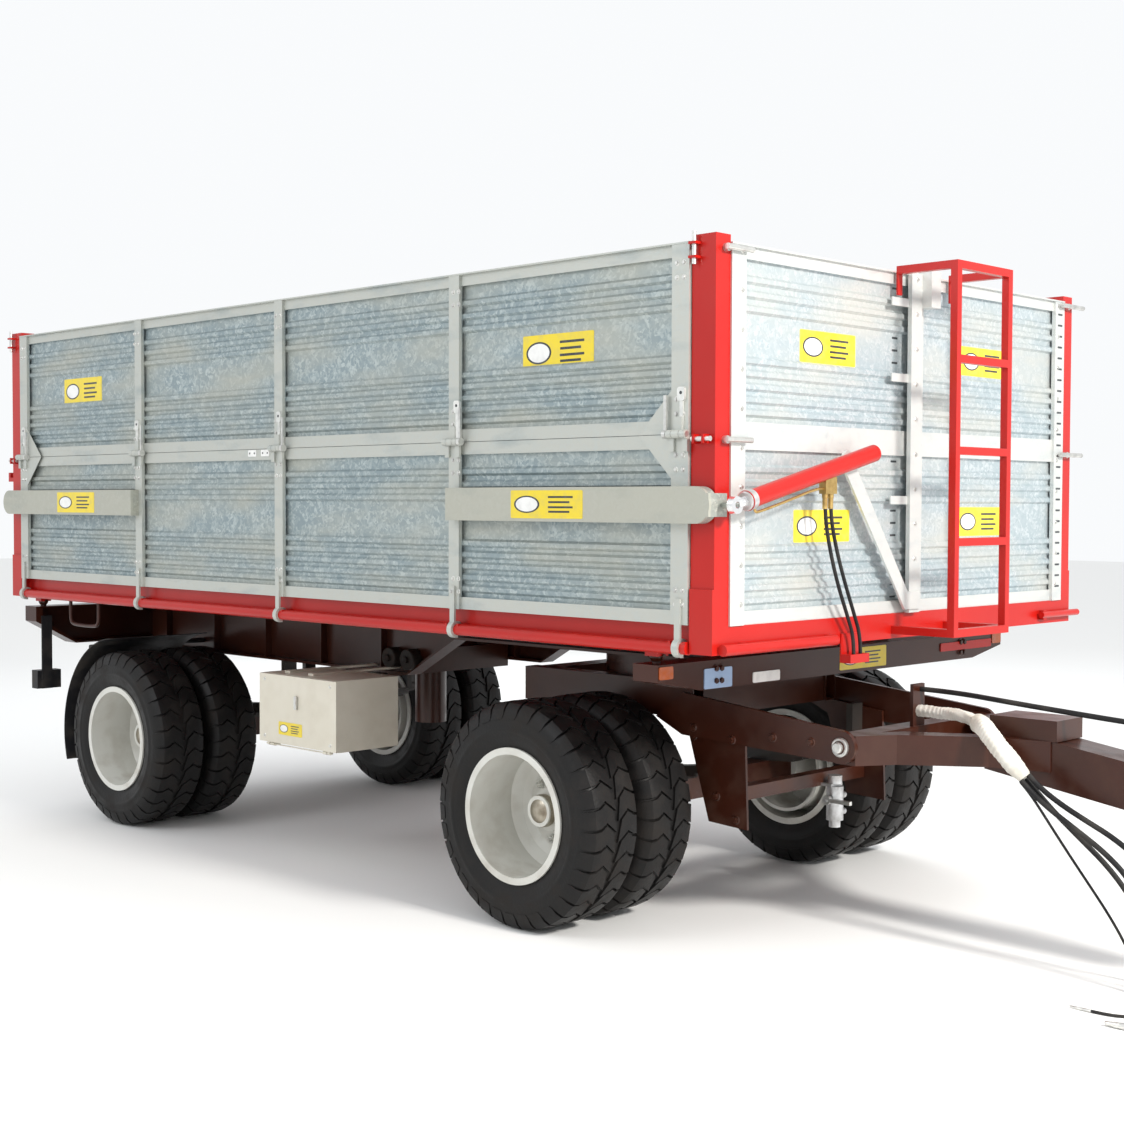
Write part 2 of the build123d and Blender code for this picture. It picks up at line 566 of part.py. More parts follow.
def side_cylinder():
    """Hydraulic cylinder that opens the right lower board, and its galvanised bracket."""
    pivot_y, pivot_z = CYLINDER_PIVOT
    reach = hypot(ARM_PIN[0] - pivot_y, ARM_PIN[1] - pivot_z)
    dip = degrees(atan2(pivot_z - ARM_PIN[1], pivot_y - ARM_PIN[0]))
    x = at(0) + CYLINDER_X
    # The cylinder is drawn along -Y from its pivot, then dipped about the pivot's X axis.
    place = Pos(x, pivot_y, pivot_z) * Rot(dip, 0, 0)
    tail, nose = 116.0, reach - 62.0
    barrel = rod_y(tail, -nose, 0, 0, CYLINDER_RADIUS) + rod_y(-nose + 30, -nose, 0, 0, CYLINDER_RADIUS + 4)
    barrel -= rod_y(tail - 14, -nose - 1, 0, 0, ROD_RADIUS + RUNNING)
    boss = rod_x(-CYLINDER_RADIUS - 2, -ROD_RADIUS - 6, 0, 0, 20)
    barrel += boss - rod_y(tail - 14, -nose - 1, 0, 0, ROD_RADIUS + RUNNING)
    barrel -= rod_x(-CYLINDER_RADIUS - 3, -ROD_RADIUS - 4, 0, 0, PIN_RADIUS + RUNNING)
    save("cylinder_barrel", place * barrel)
    eye = rod_x(-12, 12, -reach, 0, 30) - rod_x(-13, 13, -reach, 0, PIN_RADIUS + RUNNING)
    shaft = rod_y(tail - 16, -reach + 20, 0, 0, ROD_RADIUS)
    rod = shaft + eye - rod_x(-13, 13, -reach, 0, PIN_RADIUS + RUNNING)
    rod = rod & block((-40, 40), (-reach - 60, tail), (-60, 60))
    save("cylinder_rod", place * rod)
    envelope = place * rod_y(tail + 1, -nose - 1, 0, 0, CYLINDER_RADIUS + VALVE_GAP)
    valve_block = block((x - 15, x + 15), VALVE_Y_SPAN, (VALVE_BOTTOM, 1800)) - envelope
    low_half = block((x - 20, x + 20), (-800, -600), (VALVE_BOTTOM - 1, 1765))
    save("cylinder_valve", valve_block & low_half)
    bracket_x = (at(5) + LIP + POST_DEPTH, x - CYLINDER_RADIUS - 3)
    strut = plate_yz([(pivot_y - 26, pivot_z - 30), (pivot_y + 22, pivot_z + 24),
                      (pivot_y + 40, pivot_z - 10),
                      (CENTRE_POST_Y - 60, 1330), (CENTRE_POST_Y + 30, 1330), (CENTRE_POST_Y + 30, 1262),
                      (CENTRE_POST_Y - 80, 1262), (CENTRE_POST_Y - 130, 1330)], *bracket_x)
    boss_z = rod_x(*bracket_x, *CYLINDER_PIVOT, 34)
    trunnion = rod_x(bracket_x[0], x - ROD_RADIUS - 5, *CYLINDER_PIVOT, PIN_RADIUS)
    save("cylinder_bracket", fuse([strut, boss_z, trunnion]))


# ---- chassis -------------------------------------------------------------------------------
def side_beam():
    """Right side beam: a web with flanges, cranked up in front to pass over the turntable."""
    front, rear = at(HEAD_BACK + BOLSTER_DEPTH), at(REAR_BEAM_BACK)
    lower = [(front, THIN_BOTTOM), (at(CRANK_FRONT), THIN_BOTTOM), (at(CRANK_REAR), DEEP_BOTTOM),
             (rear, DEEP_BOTTOM)]
    web = plate_xz([(front, BEAM_TOP)] + lower + [(rear, BEAM_TOP)], -WEB_Y - WEB / 2, -WEB_Y + WEB / 2)
    wide = (-WEB_Y - BEAM_WIDTH / 2, -WEB_Y + BEAM_WIDTH / 2)
    top = block((rear, front), wide, (BEAM_TOP - FLANGE, BEAM_TOP))
    upper = [(px, pz + FLANGE) for px, pz in reversed(lower)]
    bottom = plate_xz(lower + upper, *wide)
    ribs = [block((at(back) - 5, at(back) + 5), wide, (DEEP_BOTTOM, BEAM_TOP))
            for back in (2700.0, 3180.0, 3660.0, 4140.0, 4620.0)]
    return fuse([web, top, bottom] + ribs)


def cross_members():
    """Cross tubes between the webs, and the two beams that carry the ram's trunnions."""
    inner = WEB_Y - BEAM_WIDTH / 2
    parts = []
    thin, deep = (THIN_BOTTOM, BEAM_TOP), (DEEP_BOTTOM, 980.0)
    for back, z in ((FRONT_AXLE_BACK - 300, thin), (FRONT_AXLE_BACK, thin), (FRONT_AXLE_BACK + 300, thin),
                    (3500.0, deep), (4500.0, deep)):
        parts.append(tube((at(back) - 45, at(back) + 45), (-inner, inner), z, "y", BEAM_WALL))
    gap = RAM_RADII[0] + RAM_BEAM_GAP
    for side in (-1, 1):
        x = sorted((at(RAM_BACK) + side * gap, at(RAM_BACK) + side * (gap + 60)))
        beam = tube(x, (-inner, inner), (RAM_PIVOT_Z - 60, RAM_PIVOT_Z + 60), "y", BEAM_WALL)
        boss = rod_x(x[0] + BEAM_WALL, x[1] - BEAM_WALL, 0, RAM_PIVOT_Z, TRUNNION_RADIUS + 12)
        bore = rod_x(x[0] - 1, x[1] + 1, 0, RAM_PIVOT_Z, TRUNNION_RADIUS + RUNNING)
        parts.append(beam + boss - bore)
    save("chassis_cross_members", *parts)


def bolsters():
    """Head beam and rear beam, channels open to the inside, with the four tipping balls."""
    made = []
    for back, ball_back, low, foot in ((HEAD_BACK, HEAD_BACK + BOLSTER_DEPTH / 2, 985.0, 1030.0),
                                       (REAR_BEAM_BACK, REAR_BEAM_BACK + REAR_BALL, 880.0, 1010.0)):
        outline = [(-BOLSTER_HALF, BOLSTER_TOP), (-BOLSTER_HALF, foot), (-940, low), (940, low),
                   (BOLSTER_HALF, foot), (BOLSTER_HALF, BOLSTER_TOP)]
        beam = plate_yz(outline, at(back + BOLSTER_DEPTH), at(back))
        inner = [(-BOLSTER_HALF + 40, BOLSTER_TOP - BEAM_WALL), (-BOLSTER_HALF + 40, foot + BEAM_WALL),
                 (-935, low + BEAM_WALL), (935, low + BEAM_WALL), (BOLSTER_HALF - 40, foot + BEAM_WALL),
                 (BOLSTER_HALF - 40, BOLSTER_TOP - BEAM_WALL)]
        open_end = (at(back + BOLSTER_DEPTH) - 1, at(back) - BEAM_WALL) if back == HEAD_BACK else (
            at(back + BOLSTER_DEPTH) + BEAM_WALL, at(back) + 1)
        beam -= plate_yz(inner, *open_end)
        balls = [Pos(at(ball_back), side * BALL_Y, BALL_Z) * Sphere(BALL_RADIUS) for side in (-1, 1)]
        necks = [rod_z(BOLSTER_TOP - 1, BALL_Z - 8, at(ball_back), side * BALL_Y, 16) for side in (-1, 1)]
        pins = [rod_x(at(ball_back) - 38, at(ball_back) + 38, side * BALL_Y, BALL_Z, TIP_PIN)
                for side in (-1, 1)]
        made.append(fuse([beam] + balls + necks + pins))
    save("chassis_bolsters", *made)


def turntable():
    """Two stacked slewing rings between the chassis and the steered bogie."""
    x = at(FRONT_AXLE_BACK)
    for name, top in (("turntable_upper_ring", THIN_BOTTOM),
                      ("turntable_lower_ring", THIN_BOTTOM - RING_HEIGHT - RING_GAP)):
        ring = rod_z(top - RING_HEIGHT, top, x, 0, RING_RADIUS)
        save(name, ring - rod_z(top - RING_HEIGHT - 1, top + 1, x, 0, RING_RADIUS - RING_WIDTH))


def leaf(x, z, half, rise):
    """One curved leaf, highest at its ends."""
    low = ThreePointArc((x - half, 0, z + rise), (x, 0, z), (x + half, 0, z + rise))
    high = ThreePointArc((x - half, 0, z + rise + LEAF), (x, 0, z + LEAF), (x + half, 0, z + rise + LEAF))
    ends = [Line((x - half, 0, z + rise), (x - half, 0, z + rise + LEAF)),
            Line((x + half, 0, z + rise), (x + half, 0, z + rise + LEAF))]
    face = make_face([low, high] + ends)
    return Pos(0, -SPRING_Y - SPRING_WIDTH / 2, 0) * extrude(face, amount=SPRING_WIDTH, dir=(0, 1, 0))


def leaf_springs(name, back, seat):
    """Leaf packs on the axle beam, with clamps round the axle and eyes in their hangers."""
    x, packs = at(back), []
    base = AXLE_Z + AXLE_TUBE / 2
    for i in range(LEAVES):
        half = SPRING_HALF * (0.28 + 0.72 * (i + 1) / LEAVES)
        packs.append(leaf(x, base + i * LEAF, half, SPRING_RISE * (half / SPRING_HALF) ** 2))
    eye_z = base + SPRING_RISE + LEAVES * LEAF
    y = (-SPRING_Y - SPRING_WIDTH / 2, -SPRING_Y + SPRING_WIDTH / 2)
    for side in (-1, 1):
        ex = x + side * (SPRING_HALF - 8)
        packs.append(rod_y(*y, ex, eye_z + 4, 24))
        packs.append(block((ex - 16, ex + 16), y, (eye_z, seat)))
    clamp = block((x - 70, x + 70), y, (base + LEAVES * LEAF - 1, base + LEAVES * LEAF + 24))
    pack = fuse(packs + [clamp])
    save(name, pack, left(pack))


def axle(name, back):
    """Square axle beam with round spindles."""
    x = at(back)
    half = AXLE_TUBE / 2
    beam = block((x - half, x + half), (-560, 560), (AXLE_Z - half, AXLE_Z + half))
    spindles = [rod_y(-1010, -559, x, AXLE_Z, SPINDLE_RADIUS), rod_y(559, 1010, x, AXLE_Z, SPINDLE_RADIUS)]
    save(name, fuse([beam] + spindles))


def wheel_profile(points, x):
    """A ring turned about the axle from (y, radius) points."""
    face = make_face(Polyline([(x, y, AXLE_Z + r) for y, r in points], close=True))
    return revolve(face, axis=Axis((x, 0, AXLE_Z), (0, 1, 0)), revolution_arc=360)


def tyre(x, y):
    half = TYRE_WIDTH / 2
    outer = [(-118, BEAD_RADIUS), (-120, 275), (-134, 305), (-half, 350), (-half + 2, 385), (-132, 418),
             (-112, TYRE_RADIUS - 6), (-90, TYRE_RADIUS)]
    inner = [(-90, 418), (-116, 395), (-122, 350), (-110, 300), (-96, 270), (-90, BEAD_RADIUS)]
    section = [(y + a, r) for a, r in outer] + [(y - a, r) for a, r in reversed(outer)]
    section += [(y - a, r) for a, r in reversed(inner)] + [(y + a, r) for a, r in inner]
    return wheel_profile(section, x)


def rim(x, y, disc_y):
    """Deep rim: barrel and flanges under the tyre, closed by the disc at the hub face."""
    seat = BEAD_RADIUS - BEAD_GAP
    lip = seat + FLANGE_HEIGHT
    barrel = wheel_profile([(y - 130, seat - RIM_WALL), (y - 130, lip), (y - 121, lip), (y - 121, seat),
                            (y + 121, seat), (y + 121, lip), (y + 130, lip), (y + 130, seat - RIM_WALL)], x)
    lean = 1 if y < disc_y else -1
    face = disc_y - lean * 14
    disc = wheel_profile([(disc_y, HUB_RADIUS - 20), (face, HUB_RADIUS - 20), (face, 170),
                          (face - lean * 16, 205), (y + lean * 110 - lean * 14, seat - RIM_WALL + 1),
                          (y + lean * 110, seat - RIM_WALL + 1), (disc_y - lean * 2, 205), (disc_y, 170)], x)
    return barrel + disc


def hub(x):
    """Right hub with its drum and cap, bored to turn on the spindle."""
    face = -(OUTER_TYRE_Y - TWIN_SPACING / 2)
    drum = rod_y(-572, face + 80, x, AXLE_Z, DRUM_RADIUS)
    drum -= rod_y(-571, face + 92, x, AXLE_Z, DRUM_RADIUS - 14) - rod_y(-570, face + 90, x, AXLE_Z, 75)
    body = rod_y(face + 90, face + 14, x, AXLE_Z, 150)
    nose = rod_y(face + 20, face - 90, x, AXLE_Z, HUB_RADIUS - 20 - BEAD_GAP)
    cap = rod_y(face - 80, -1018, x, AXLE_Z, 62)
    bore = rod_y(-565, -1012, x, AXLE_Z, SPINDLE_RADIUS + RUNNING)
    return fuse([drum, body, nose, cap]) - bore


def wheels():
    face = -(OUTER_TYRE_Y - TWIN_SPACING / 2)
    for end, back in (("front", FRONT_AXLE_BACK), ("rear", REAR_AXLE_BACK)):
        x = at(back)
        outer, inner = -OUTER_TYRE_Y, -OUTER_TYRE_Y + TWIN_SPACING
        tyres = [tyre(x, outer), tyre(x, inner)]
        discs = [rim(x, outer, face), rim(x, inner, face), hub(x)]
        for side, turn in (("right", None), ("left", left)):
            save(f"{end}_{side}_tyres", *[turn(p) if turn else p for p in tyres])
            save(f"{end}_{side}_wheels", *[turn(p) if turn else p for p in discs])


# ---- tipping ram ---------------------------------------------------------------------------
def tipping_ram():
    """Three-stage ram: barrel on trunnions, middle stage, inner stage with its ball."""
    x = at(RAM_BACK)
    top = RAM_TOP_Z - 24
    radii = RAM_RADII
    barrel = rod_z(RAM_BOTTOM_Z, top, x, 0, radii[0])
    barrel -= rod_z(RAM_BOTTOM_Z + 16, top + 1, x, 0, radii[1] + RAM_BORE_GAP)
    reach = radii[0] + RAM_BEAM_GAP + 60
    pins = [rod_x(x + side * (radii[0] - 8), x + side * reach, 0, RAM_PIVOT_Z, TRUNNION_RADIUS)
            for side in (-1, 1)]
    save("ram_barrel", fuse([barrel] + pins))
    middle = rod_z(RAM_BOTTOM_Z + 18, top, x, 0, radii[1])
    save("ram_middle_stage", middle - rod_z(RAM_BOTTOM_Z + 30, top + 1, x, 0, radii[2] + RAM_BORE_GAP))
    inner = rod_z(RAM_BOTTOM_Z + 32, top, x, 0, radii[2])
    neck = rod_z(top - 1, RAM_TOP_Z, x, 0, 16)
    save("ram_inner_stage", fuse([inner, neck, Pos(x, 0, RAM_TOP_Z) * Sphere(28)]))


# ---- bogie and drawbar ---------------------------------------------------------------------
def bogie():
    """Steered frame under the turntable: hollow rails and cross tubes, hinge cheeks, hangers."""
    rail_z = (SPRING_SEAT, THIN_BOTTOM - 2 * RING_HEIGHT - RING_GAP)
    pivot_x, pivot_z = at(0) + DRAWBAR_PIVOT[0], DRAWBAR_PIVOT[1]
    rear, front = at(1690), at(720)
    parts = []
    for side in (-1, 1):
        rail_y = sorted((side * RAIL_IN, side * RAIL_OUT))
        parts.append(tube((rear, front), rail_y, rail_z, "x", BEAM_WALL))
        cheek_y = sorted((side * RAIL_OUT, side * (RAIL_OUT + CHEEK)))
        cheek = plate_xz([(at(900), rail_z[0] - 2), (at(760), rail_z[1] - 40), (pivot_x, pivot_z + 62),
                          (pivot_x, pivot_z - 62), (at(760), pivot_z - 30)], *cheek_y)
        cheek += rod_y(*cheek_y, pivot_x, pivot_z, 62)
        parts.append(cheek - rod_y(cheek_y[0] - 1, cheek_y[1] + 1, pivot_x, pivot_z, HINGE_PIN + RUNNING))
        hanger_y = sorted((side * (RAIL_OUT - 20), side * (RAIL_OUT - 8)))
        outline = [(at(765), SPRING_SEAT), (at(722), SPRING_SEAT), (at(460), 772), (at(445), 385),
                   (at(640), 395)]
        parts.append(plate_xz(outline, *hanger_y))
    for back in (1600.0, FRONT_AXLE_BACK, 790.0):
        parts.append(tube((at(back) - 60, at(back) + 60), (-RAIL_IN, RAIL_IN), rail_z, "y", BEAM_WALL))
    hanger = RAIL_OUT - 20
    tie_x = (at(TIE_BACK[1]), at(TIE_BACK[0]))
    parts.append(tube(tie_x, (-hanger, hanger), (TIE_Z, TIE_Z + 56), "y", BEAM_WALL))
    save("bogie_frame", *parts)
    valve()


def valve():
    """Brake valve on the bogie's tie bar, with its hand lever."""
    x = at(VALVE_BACK)
    face = block((at(TIE_BACK[0]), x + 10), (VALVE_Y - 40, VALVE_Y + 40), (TIE_Z, TIE_Z + 12))
    body = rod_z(330, TIE_Z, x, VALVE_Y, 36) + rod_z(300, 331, x, VALVE_Y, 24)
    crown = rod_z(TIE_Z + 12, TIE_Z + 46, x, VALVE_Y, 30)
    pivot = rod_y(VALVE_Y - 34, VALVE_Y - 70, x, 420, 9)
    ports = [rod_y(VALVE_Y + 30, VALVE_Y + 66, x, z, 14) for z in (360, 430)]
    save("brake_valve", fuse([face, body, crown, pivot] + ports))
    hub_y = (VALVE_Y - 66, VALVE_Y - 48)
    grip = block((x + 4, x + 120), hub_y, (412, 428))
    lever = rod_y(*hub_y, x, 420, 20) + grip - rod_y(VALVE_Y - 30, VALVE_Y - 80, x, 420, 9 + RUNNING)
    save("brake_valve_lever", lever)


def drawbar():
    """A-frame of an upside-down channel on hinge pins, a raised box and the sloping beam."""
    x = at(0)
    pivot_x, pivot_z = x + DRAWBAR_PIVOT[0], DRAWBAR_PIVOT[1]
    low, high = pivot_z - 68, pivot_z + 44
    half_y = RAIL_OUT - 4
    outline = [(pivot_x - 40, half_y), (pivot_x + 48, half_y), (x + 150, 345), (x + 420, 150), (x + 640, 96)]
    outline += [(px, -py) for px, py in reversed(outline)]
    hole = [(x + 70, 330), (x + 120, 240), (x + 372, 92), (x + 372, -92), (x + 120, -240), (x + 70, -330)]
    plan = make_face(Polyline([(px, py, 0) for px, py in outline], close=True))
    plan -= make_face(Polyline([(px, py, 0) for px, py in hole], close=True))
    inside = offset(plan, amount=-BEAM_WALL, kind=Kind.INTERSECTION)
    frame = Pos(0, 0, low) * extrude(plan, amount=high - low, dir=(0, 0, 1))
    frame -= Pos(0, 0, low - 1) * extrude(inside, amount=high - low + 1 - BEAM_WALL, dir=(0, 0, 1))
    spine = tube((x + 392, x + 664), (-96, 96), (high, high + 76), "y", BEAM_WALL)
    cover = [block((x + 392, x + 664), y, (high, high + 76)) for y in ((-96, -90), (90, 96))]
    kink_z = pivot_z - 2
    angle = radians(BEAM_SLOPE)
    length = (1500 - BEAM_KINK) / cos(angle)
    beam = block((0, length), (-90, 90), (-84, 84))
    beam -= block((60, length + 1), (-90 + BEAM_WALL, 90 - BEAM_WALL), (-84 + BEAM_WALL, 84 - BEAM_WALL))
    beam = Pos(x + BEAM_KINK, 0, kink_z) * Rot(0, BEAM_SLOPE, 0) * beam
    beam &= block((x, x + BEAM_END), (-100, 100), (300, 900))
    flange_z = kink_z - (BEAM_END - BEAM_KINK) * tan(angle)
    holder = block((x + 1180, x + 1200), (-8, 8), (flange_z + 90, HOLDER_TOP))
    holder += block((x + 1172, x + 1208), (-34, 34), (HOLDER_TOP - 10, HOLDER_TOP))
    mast = block((x + MAST - 14, x + MAST), (-100, -20), (high - 1, 972))
    pins = [rod_y(side * (half_y - 30), side * (RAIL_OUT + CHEEK + 16), pivot_x, pivot_z, HINGE_PIN)
            for side in (-1, 1)]
    body = fuse([frame, beam, holder, mast] + pins)
    save("drawbar_frame", fuse([body, spine] + cover))
    eye_x = at(-DRAWBAR_REACH) - EYE_RADIUS
    eye_z = flange_z - 4
    ring = rod_z(eye_z - EYE_HEIGHT / 2, eye_z + EYE_HEIGHT / 2, eye_x, 0, EYE_RADIUS)
    root = x + BEAM_END
    shank = block((root + 14, eye_x - 30), (-28, 28), (eye_z - 24, eye_z + 24))
    foot = block((root, root + 22), (-80, 80), (eye_z - 72, eye_z + 72))
    eye = fuse([ring, shank, foot]) - rod_z(eye_z - 60, eye_z + 60, eye_x, 0, EYE_BORE)
    save("tow_eye", eye)
    print("tow eye at", round(eye_x, 2), round(eye_z, 2))


# ---- chassis trim --------------------------------------------------------------------------


def tool_box():
    x = (at(BOX_BACK[1]), at(BOX_BACK[0]))
    y = (BOX_Y[0] + LID + LID_GAP, BOX_Y[1])
    shell = block(x, y, BOX_Z)
    shell -= block((x[0] + BOX_WALL, x[1] - BOX_WALL), (y[0] - 1, y[1] - BOX_WALL),
                   (BOX_Z[0] + BOX_WALL, BOX_Z[1] - BOX_WALL))
    bar_y = (BOX_Y[0] + 80, -WEB_Y - WEB / 2)
    bars = [block((at(back) - 20, at(back) + 20), bar_y, (BOX_Z[1], BOX_Z[1] + 10))
            for back in (2610.0, 2790.0)]
    hinge_y, hinge_z = BOX_Y[0] + LID / 2, BOX_Z[0] - 8
    eyes = []
    for end in x[0] + 90, x[1] - 90:
        eyes.append(block((end - 15, end + 15), (hinge_y, y[0] + 20), (hinge_z - 7, BOX_Z[0] + 0.5)))
        eyes.append(rod_x(end - 15, end + 15, hinge_y, hinge_z, 7))
    pin = [rod_x(x[0] + 40, x[1] - 40, hinge_y, hinge_z, 3)]
    save("tool_box", fuse([shell] + bars + eyes + pin))
    lid = block((x[0] - 2, x[1] + 2), (BOX_Y[0], BOX_Y[0] + LID), (BOX_Z[0] + 1.5, BOX_Z[1] - 1))
    lid -= block((x[0] + 1, x[1] - 1), (BOX_Y[0] + 3, BOX_Y[0] + LID + 1), (BOX_Z[0] + 5, BOX_Z[1] - 4))
    for end in x[0] + 60, x[1] - 60:
        ear = block((end - 8, end + 8), (hinge_y - 6, hinge_y + 6), (hinge_z - 2, BOX_Z[0] + 3))
        lid += ear + rod_x(end - 8, end + 8, hinge_y, hinge_z, 6.5)
    lid -= rod_x(x[0], x[1], hinge_y, hinge_z, 3 + RUNNING)
    middle = (x[0] + x[1]) / 2
    latch_z = BOX_Z[1] - 120
    lid -= rod_y(BOX_Y[0] - 1, BOX_Y[0] + 10, middle, latch_z, 6 + RUNNING)
    save("tool_box_lid", lid)
    latch = rod_y(BOX_Y[0] - 14, BOX_Y[0] + 10, middle, latch_z, 6)
    latch += block((middle - 9, middle + 9), (BOX_Y[0] - 12, BOX_Y[0] - 2), (latch_z - 30, latch_z + 30))
    save("tool_box_latch", latch)


def rear_trim():
    """Rear mudguards on their stays, and the rear lamps on hanging brackets."""
    x = at(REAR_AXLE_BACK)
    y = (-1172.0, -584.0)
    ring = rod_y(*y, x, AXLE_Z, GUARD_RADIUS + GUARD) - rod_y(y[0] - 1, y[1] + 1, x, AXLE_Z, GUARD_RADIUS)
    keep = block((x - 600, x - 40), y, (AXLE_Z - 160, AXLE_Z + 600))
    guard = ring & keep
    stay_angle = radians(31)
    stay_r = GUARD_RADIUS + GUARD + 13
    stay_x, stay_z = x - stay_r * sin(stay_angle), AXLE_Z + stay_r * cos(stay_angle)
    stay = rod_y(y[0] + 20, -WEB_Y - WEB / 2, stay_x, stay_z, 14)
    shoe = rod_y(y[0] + 60, y[0] + 100, stay_x, stay_z, 17) + rod_y(-640, -600, stay_x, stay_z, 17)
    guard = fuse([guard, stay, shoe]) - rod_y(y[0] - 1, y[1] + 1, x, AXLE_Z, GUARD_RADIUS)
    save("rear_mudguards", guard, left(guard))
    plate_x = (at(REAR_BEAM_BACK), at(REAR_BEAM_BACK) + 8)
    hanger = block(plate_x, (-1150, -1090), (640, 1040))
    lamp = block((plate_x[0] - 62, plate_x[0] + 1), (-1175, -1035), (640, 740))
    lamps = hanger + lamp
    save("rear_lamps", lamps, left(lamps))


# ---- hoses ---------------------------------------------------------------------------------


def spread_radii(points):
    """The largest tangent arc that each corner's two runs allow."""
    radii = []
    for before, corner, after in zip(points, points[1:], points[2:]):
        a, b = Vector(*corner) - Vector(*before), Vector(*after) - Vector(*corner)
        half_turn = radians(a.get_angle(b)) / 2
        radii.append(0.45 * min(a.length, b.length) / tan(half_turn))
    return radii


def hose(name, diameter, points):
    """A hose as a round tube along straight runs joined by tangent arcs."""
    points = [(FRONT + x, y, z) for x, y, z in points]
    radii = spread_radii(points)
    print(name, "radii", [round(r) for r in radii])
    path = FilletPolyline(*points, radius=radii)
    start = Vector(*points[0])
    section = Plane(origin=start, z_dir=Vector(*points[1]) - start) * Circle(diameter / 2)
    tube = sweep(section, path=path)
    print(name, "length", round(path.length), "volume share",
          round(tube.volume / (pi * diameter ** 2 / 4 * path.length), 4))
    save(name, tube)


CYLINDER_HOSES = {
    "cylinder_hose_right": [(72, -702, 1704), (72, -702, 1625), (70, -668, 1505), (61, -604, 1375),
                            (46, -520, 1255), (32, -458, 1172), (32, -458, 1110)],
    "cylinder_hose_left": [(72, -668, 1704), (72, -668, 1628), (71, -632, 1512), (64, -568, 1388),
                           (50, -486, 1266), (34, -418, 1176), (34, -418, 1110)],
}
TAIL_HOSES = {
    "supply_hose_1": (HOSE, [(614.2, -205, 698.1), (654.2, -202.8, 659), (738, -202, 608), (835, -201, 562),
                             (933, -199, 518), (1030, -196, 455), (1108, -196, 370), (1163, -200, 270),
                             (1205, -208, 165), (1255, -228, 65), (1330, -264, 14), (1412, -312, 11),
                             (1468, -395, 11), (1455, -500, 11), (1385, -580, 11), (1290, -620, 11),
                             (1195, -628, 11)]),
    "supply_hose_2": (HOSE, [(595.1, -223, 677.6), (635.1, -220.8, 638.5), (715, -224, 585), (815, -224, 527),
                             (920, -222, 463), (1005, -222, 390), (1065, -226, 295), (1108, -234, 190),
                             (1148, -250, 92), (1212, -285, 22), (1296, -335, 11), (1362, -400, 11),
                             (1368, -480, 11), (1312, -538, 11), (1232, -552, 11)]),
    "supply_hose_3": (HOSE, [(594.1, -187, 678.6), (634.1, -184.8, 639.5), (705, -180, 570), (800, -172, 490),
                             (905, -162, 401), (985, -150, 300), (1040, -136, 190), (1090, -112, 85),
                             (1160, -70, 20), (1248, -20, 11), (1338, 50, 11), (1395, 140, 11),
                             (1374, 236, 11), (1290, 290, 11), (1195, 292, 11)]),
    "lighting_cable": (WIRE, [(583.4, -205, 666.6), (616.3, -203.2, 634.5), (664, -202, 574),
                              (722, -203, 500),
                              (790, -204, 415), (860, -205, 330), (925, -207, 251), (984, -211, 170),
                              (1034, -224, 90), (1078, -254, 26), (1128, -308, 6), (1168, -376, 6),
                              (1178, -448, 6), (1150, -508, 6), (1090, -536, 6), (1022, -536, 6)]),
}
BRAKE_HOSE = [(MAST, -46, 950), (208, -46, 950), (460, -56, 932), (700, -58, 916), (940, -54, 900),
              (1095, -36, 896), (1182, 0, 884), (1245, 56, 856), (1275, 112, 802), (1284, 126, 734)]


def hoses():
    for name, points in CYLINDER_HOSES.items():
        hose(name, THIN_HOSE, points)
    for name, (diameter, points) in TAIL_HOSES.items():
        hose(name, diameter, points)
    hose("brake_hose", HOSE, BRAKE_HOSE)
    couplings = [coupling(diameter, points) for diameter, points in TAIL_HOSES.values()]
    couplings.append(coupling(HOSE, BRAKE_HOSE))
    save("hose_couplings", *couplings)


def coupling(diameter, points):
    """A quick coupling on the end of a hose, face to face with it."""
    (x0, y0, z0), (x1, y1, z1) = points[-2:]
    along = Vector(x1 - x0, y1 - y0, z1 - z0)
    place = Plane(origin=(FRONT + x1, y1, z1), z_dir=along)
    body = Pos(0, 0, 30) * Cylinder(diameter * 0.55, 60)
    collar = Pos(0, 0, 48) * Cylinder(diameter * 0.55, 36)
    return place * (body + collar)


HOSE_BUNDLE = [(MAST, -60, 868), (160, -60, 868), (268, -86, 870), (358, -130, 858)]
SLEEVE = [(358, -130, 858), (424, -190, 850), (510, -210, 772), (600, -205, 684)]


def hose_sleeve():
    """Cloth-wrapped bundle that crosses the drawbar and hangs over its right side."""
    made = []
    for name, points, radius in (("bundle", HOSE_BUNDLE, 24), ("sleeve", SLEEVE, 36)):
        points = [(FRONT + x, y, z) for x, y, z in points]
        radii = spread_radii(points)
        print(name, "radii", [round(r) for r in radii])
        path = FilletPolyline(*points, radius=radii)
        section = Plane(origin=points[0], z_dir=Vector(*points[1]) - Vector(*points[0])) * Circle(radius)
        made.append(sweep(section, path=path))
    save("hose_sleeve", fuse(made))


def main():
    os.makedirs("parts", exist_ok=True)
    boards()
    lifting_arms()
    platform()
    corner_posts()
    front_wall()
    ladder()
    side_cylinder()
    beam = side_beam()
    save("chassis_side_beams", beam, left(beam))
    cross_members()
    bolsters()
    turntable()
    leaf_springs("front_leaf_springs", FRONT_AXLE_BACK, SPRING_SEAT)
    leaf_springs("rear_leaf_springs", REAR_AXLE_BACK, DEEP_BOTTOM)
    axle("front_axle", FRONT_AXLE_BACK)
    axle("rear_axle", REAR_AXLE_BACK)
    wheels()
    tipping_ram()
    bogie()
    drawbar()
    tool_box()
    rear_trim()
    hose_sleeve()
    hoses()


main()
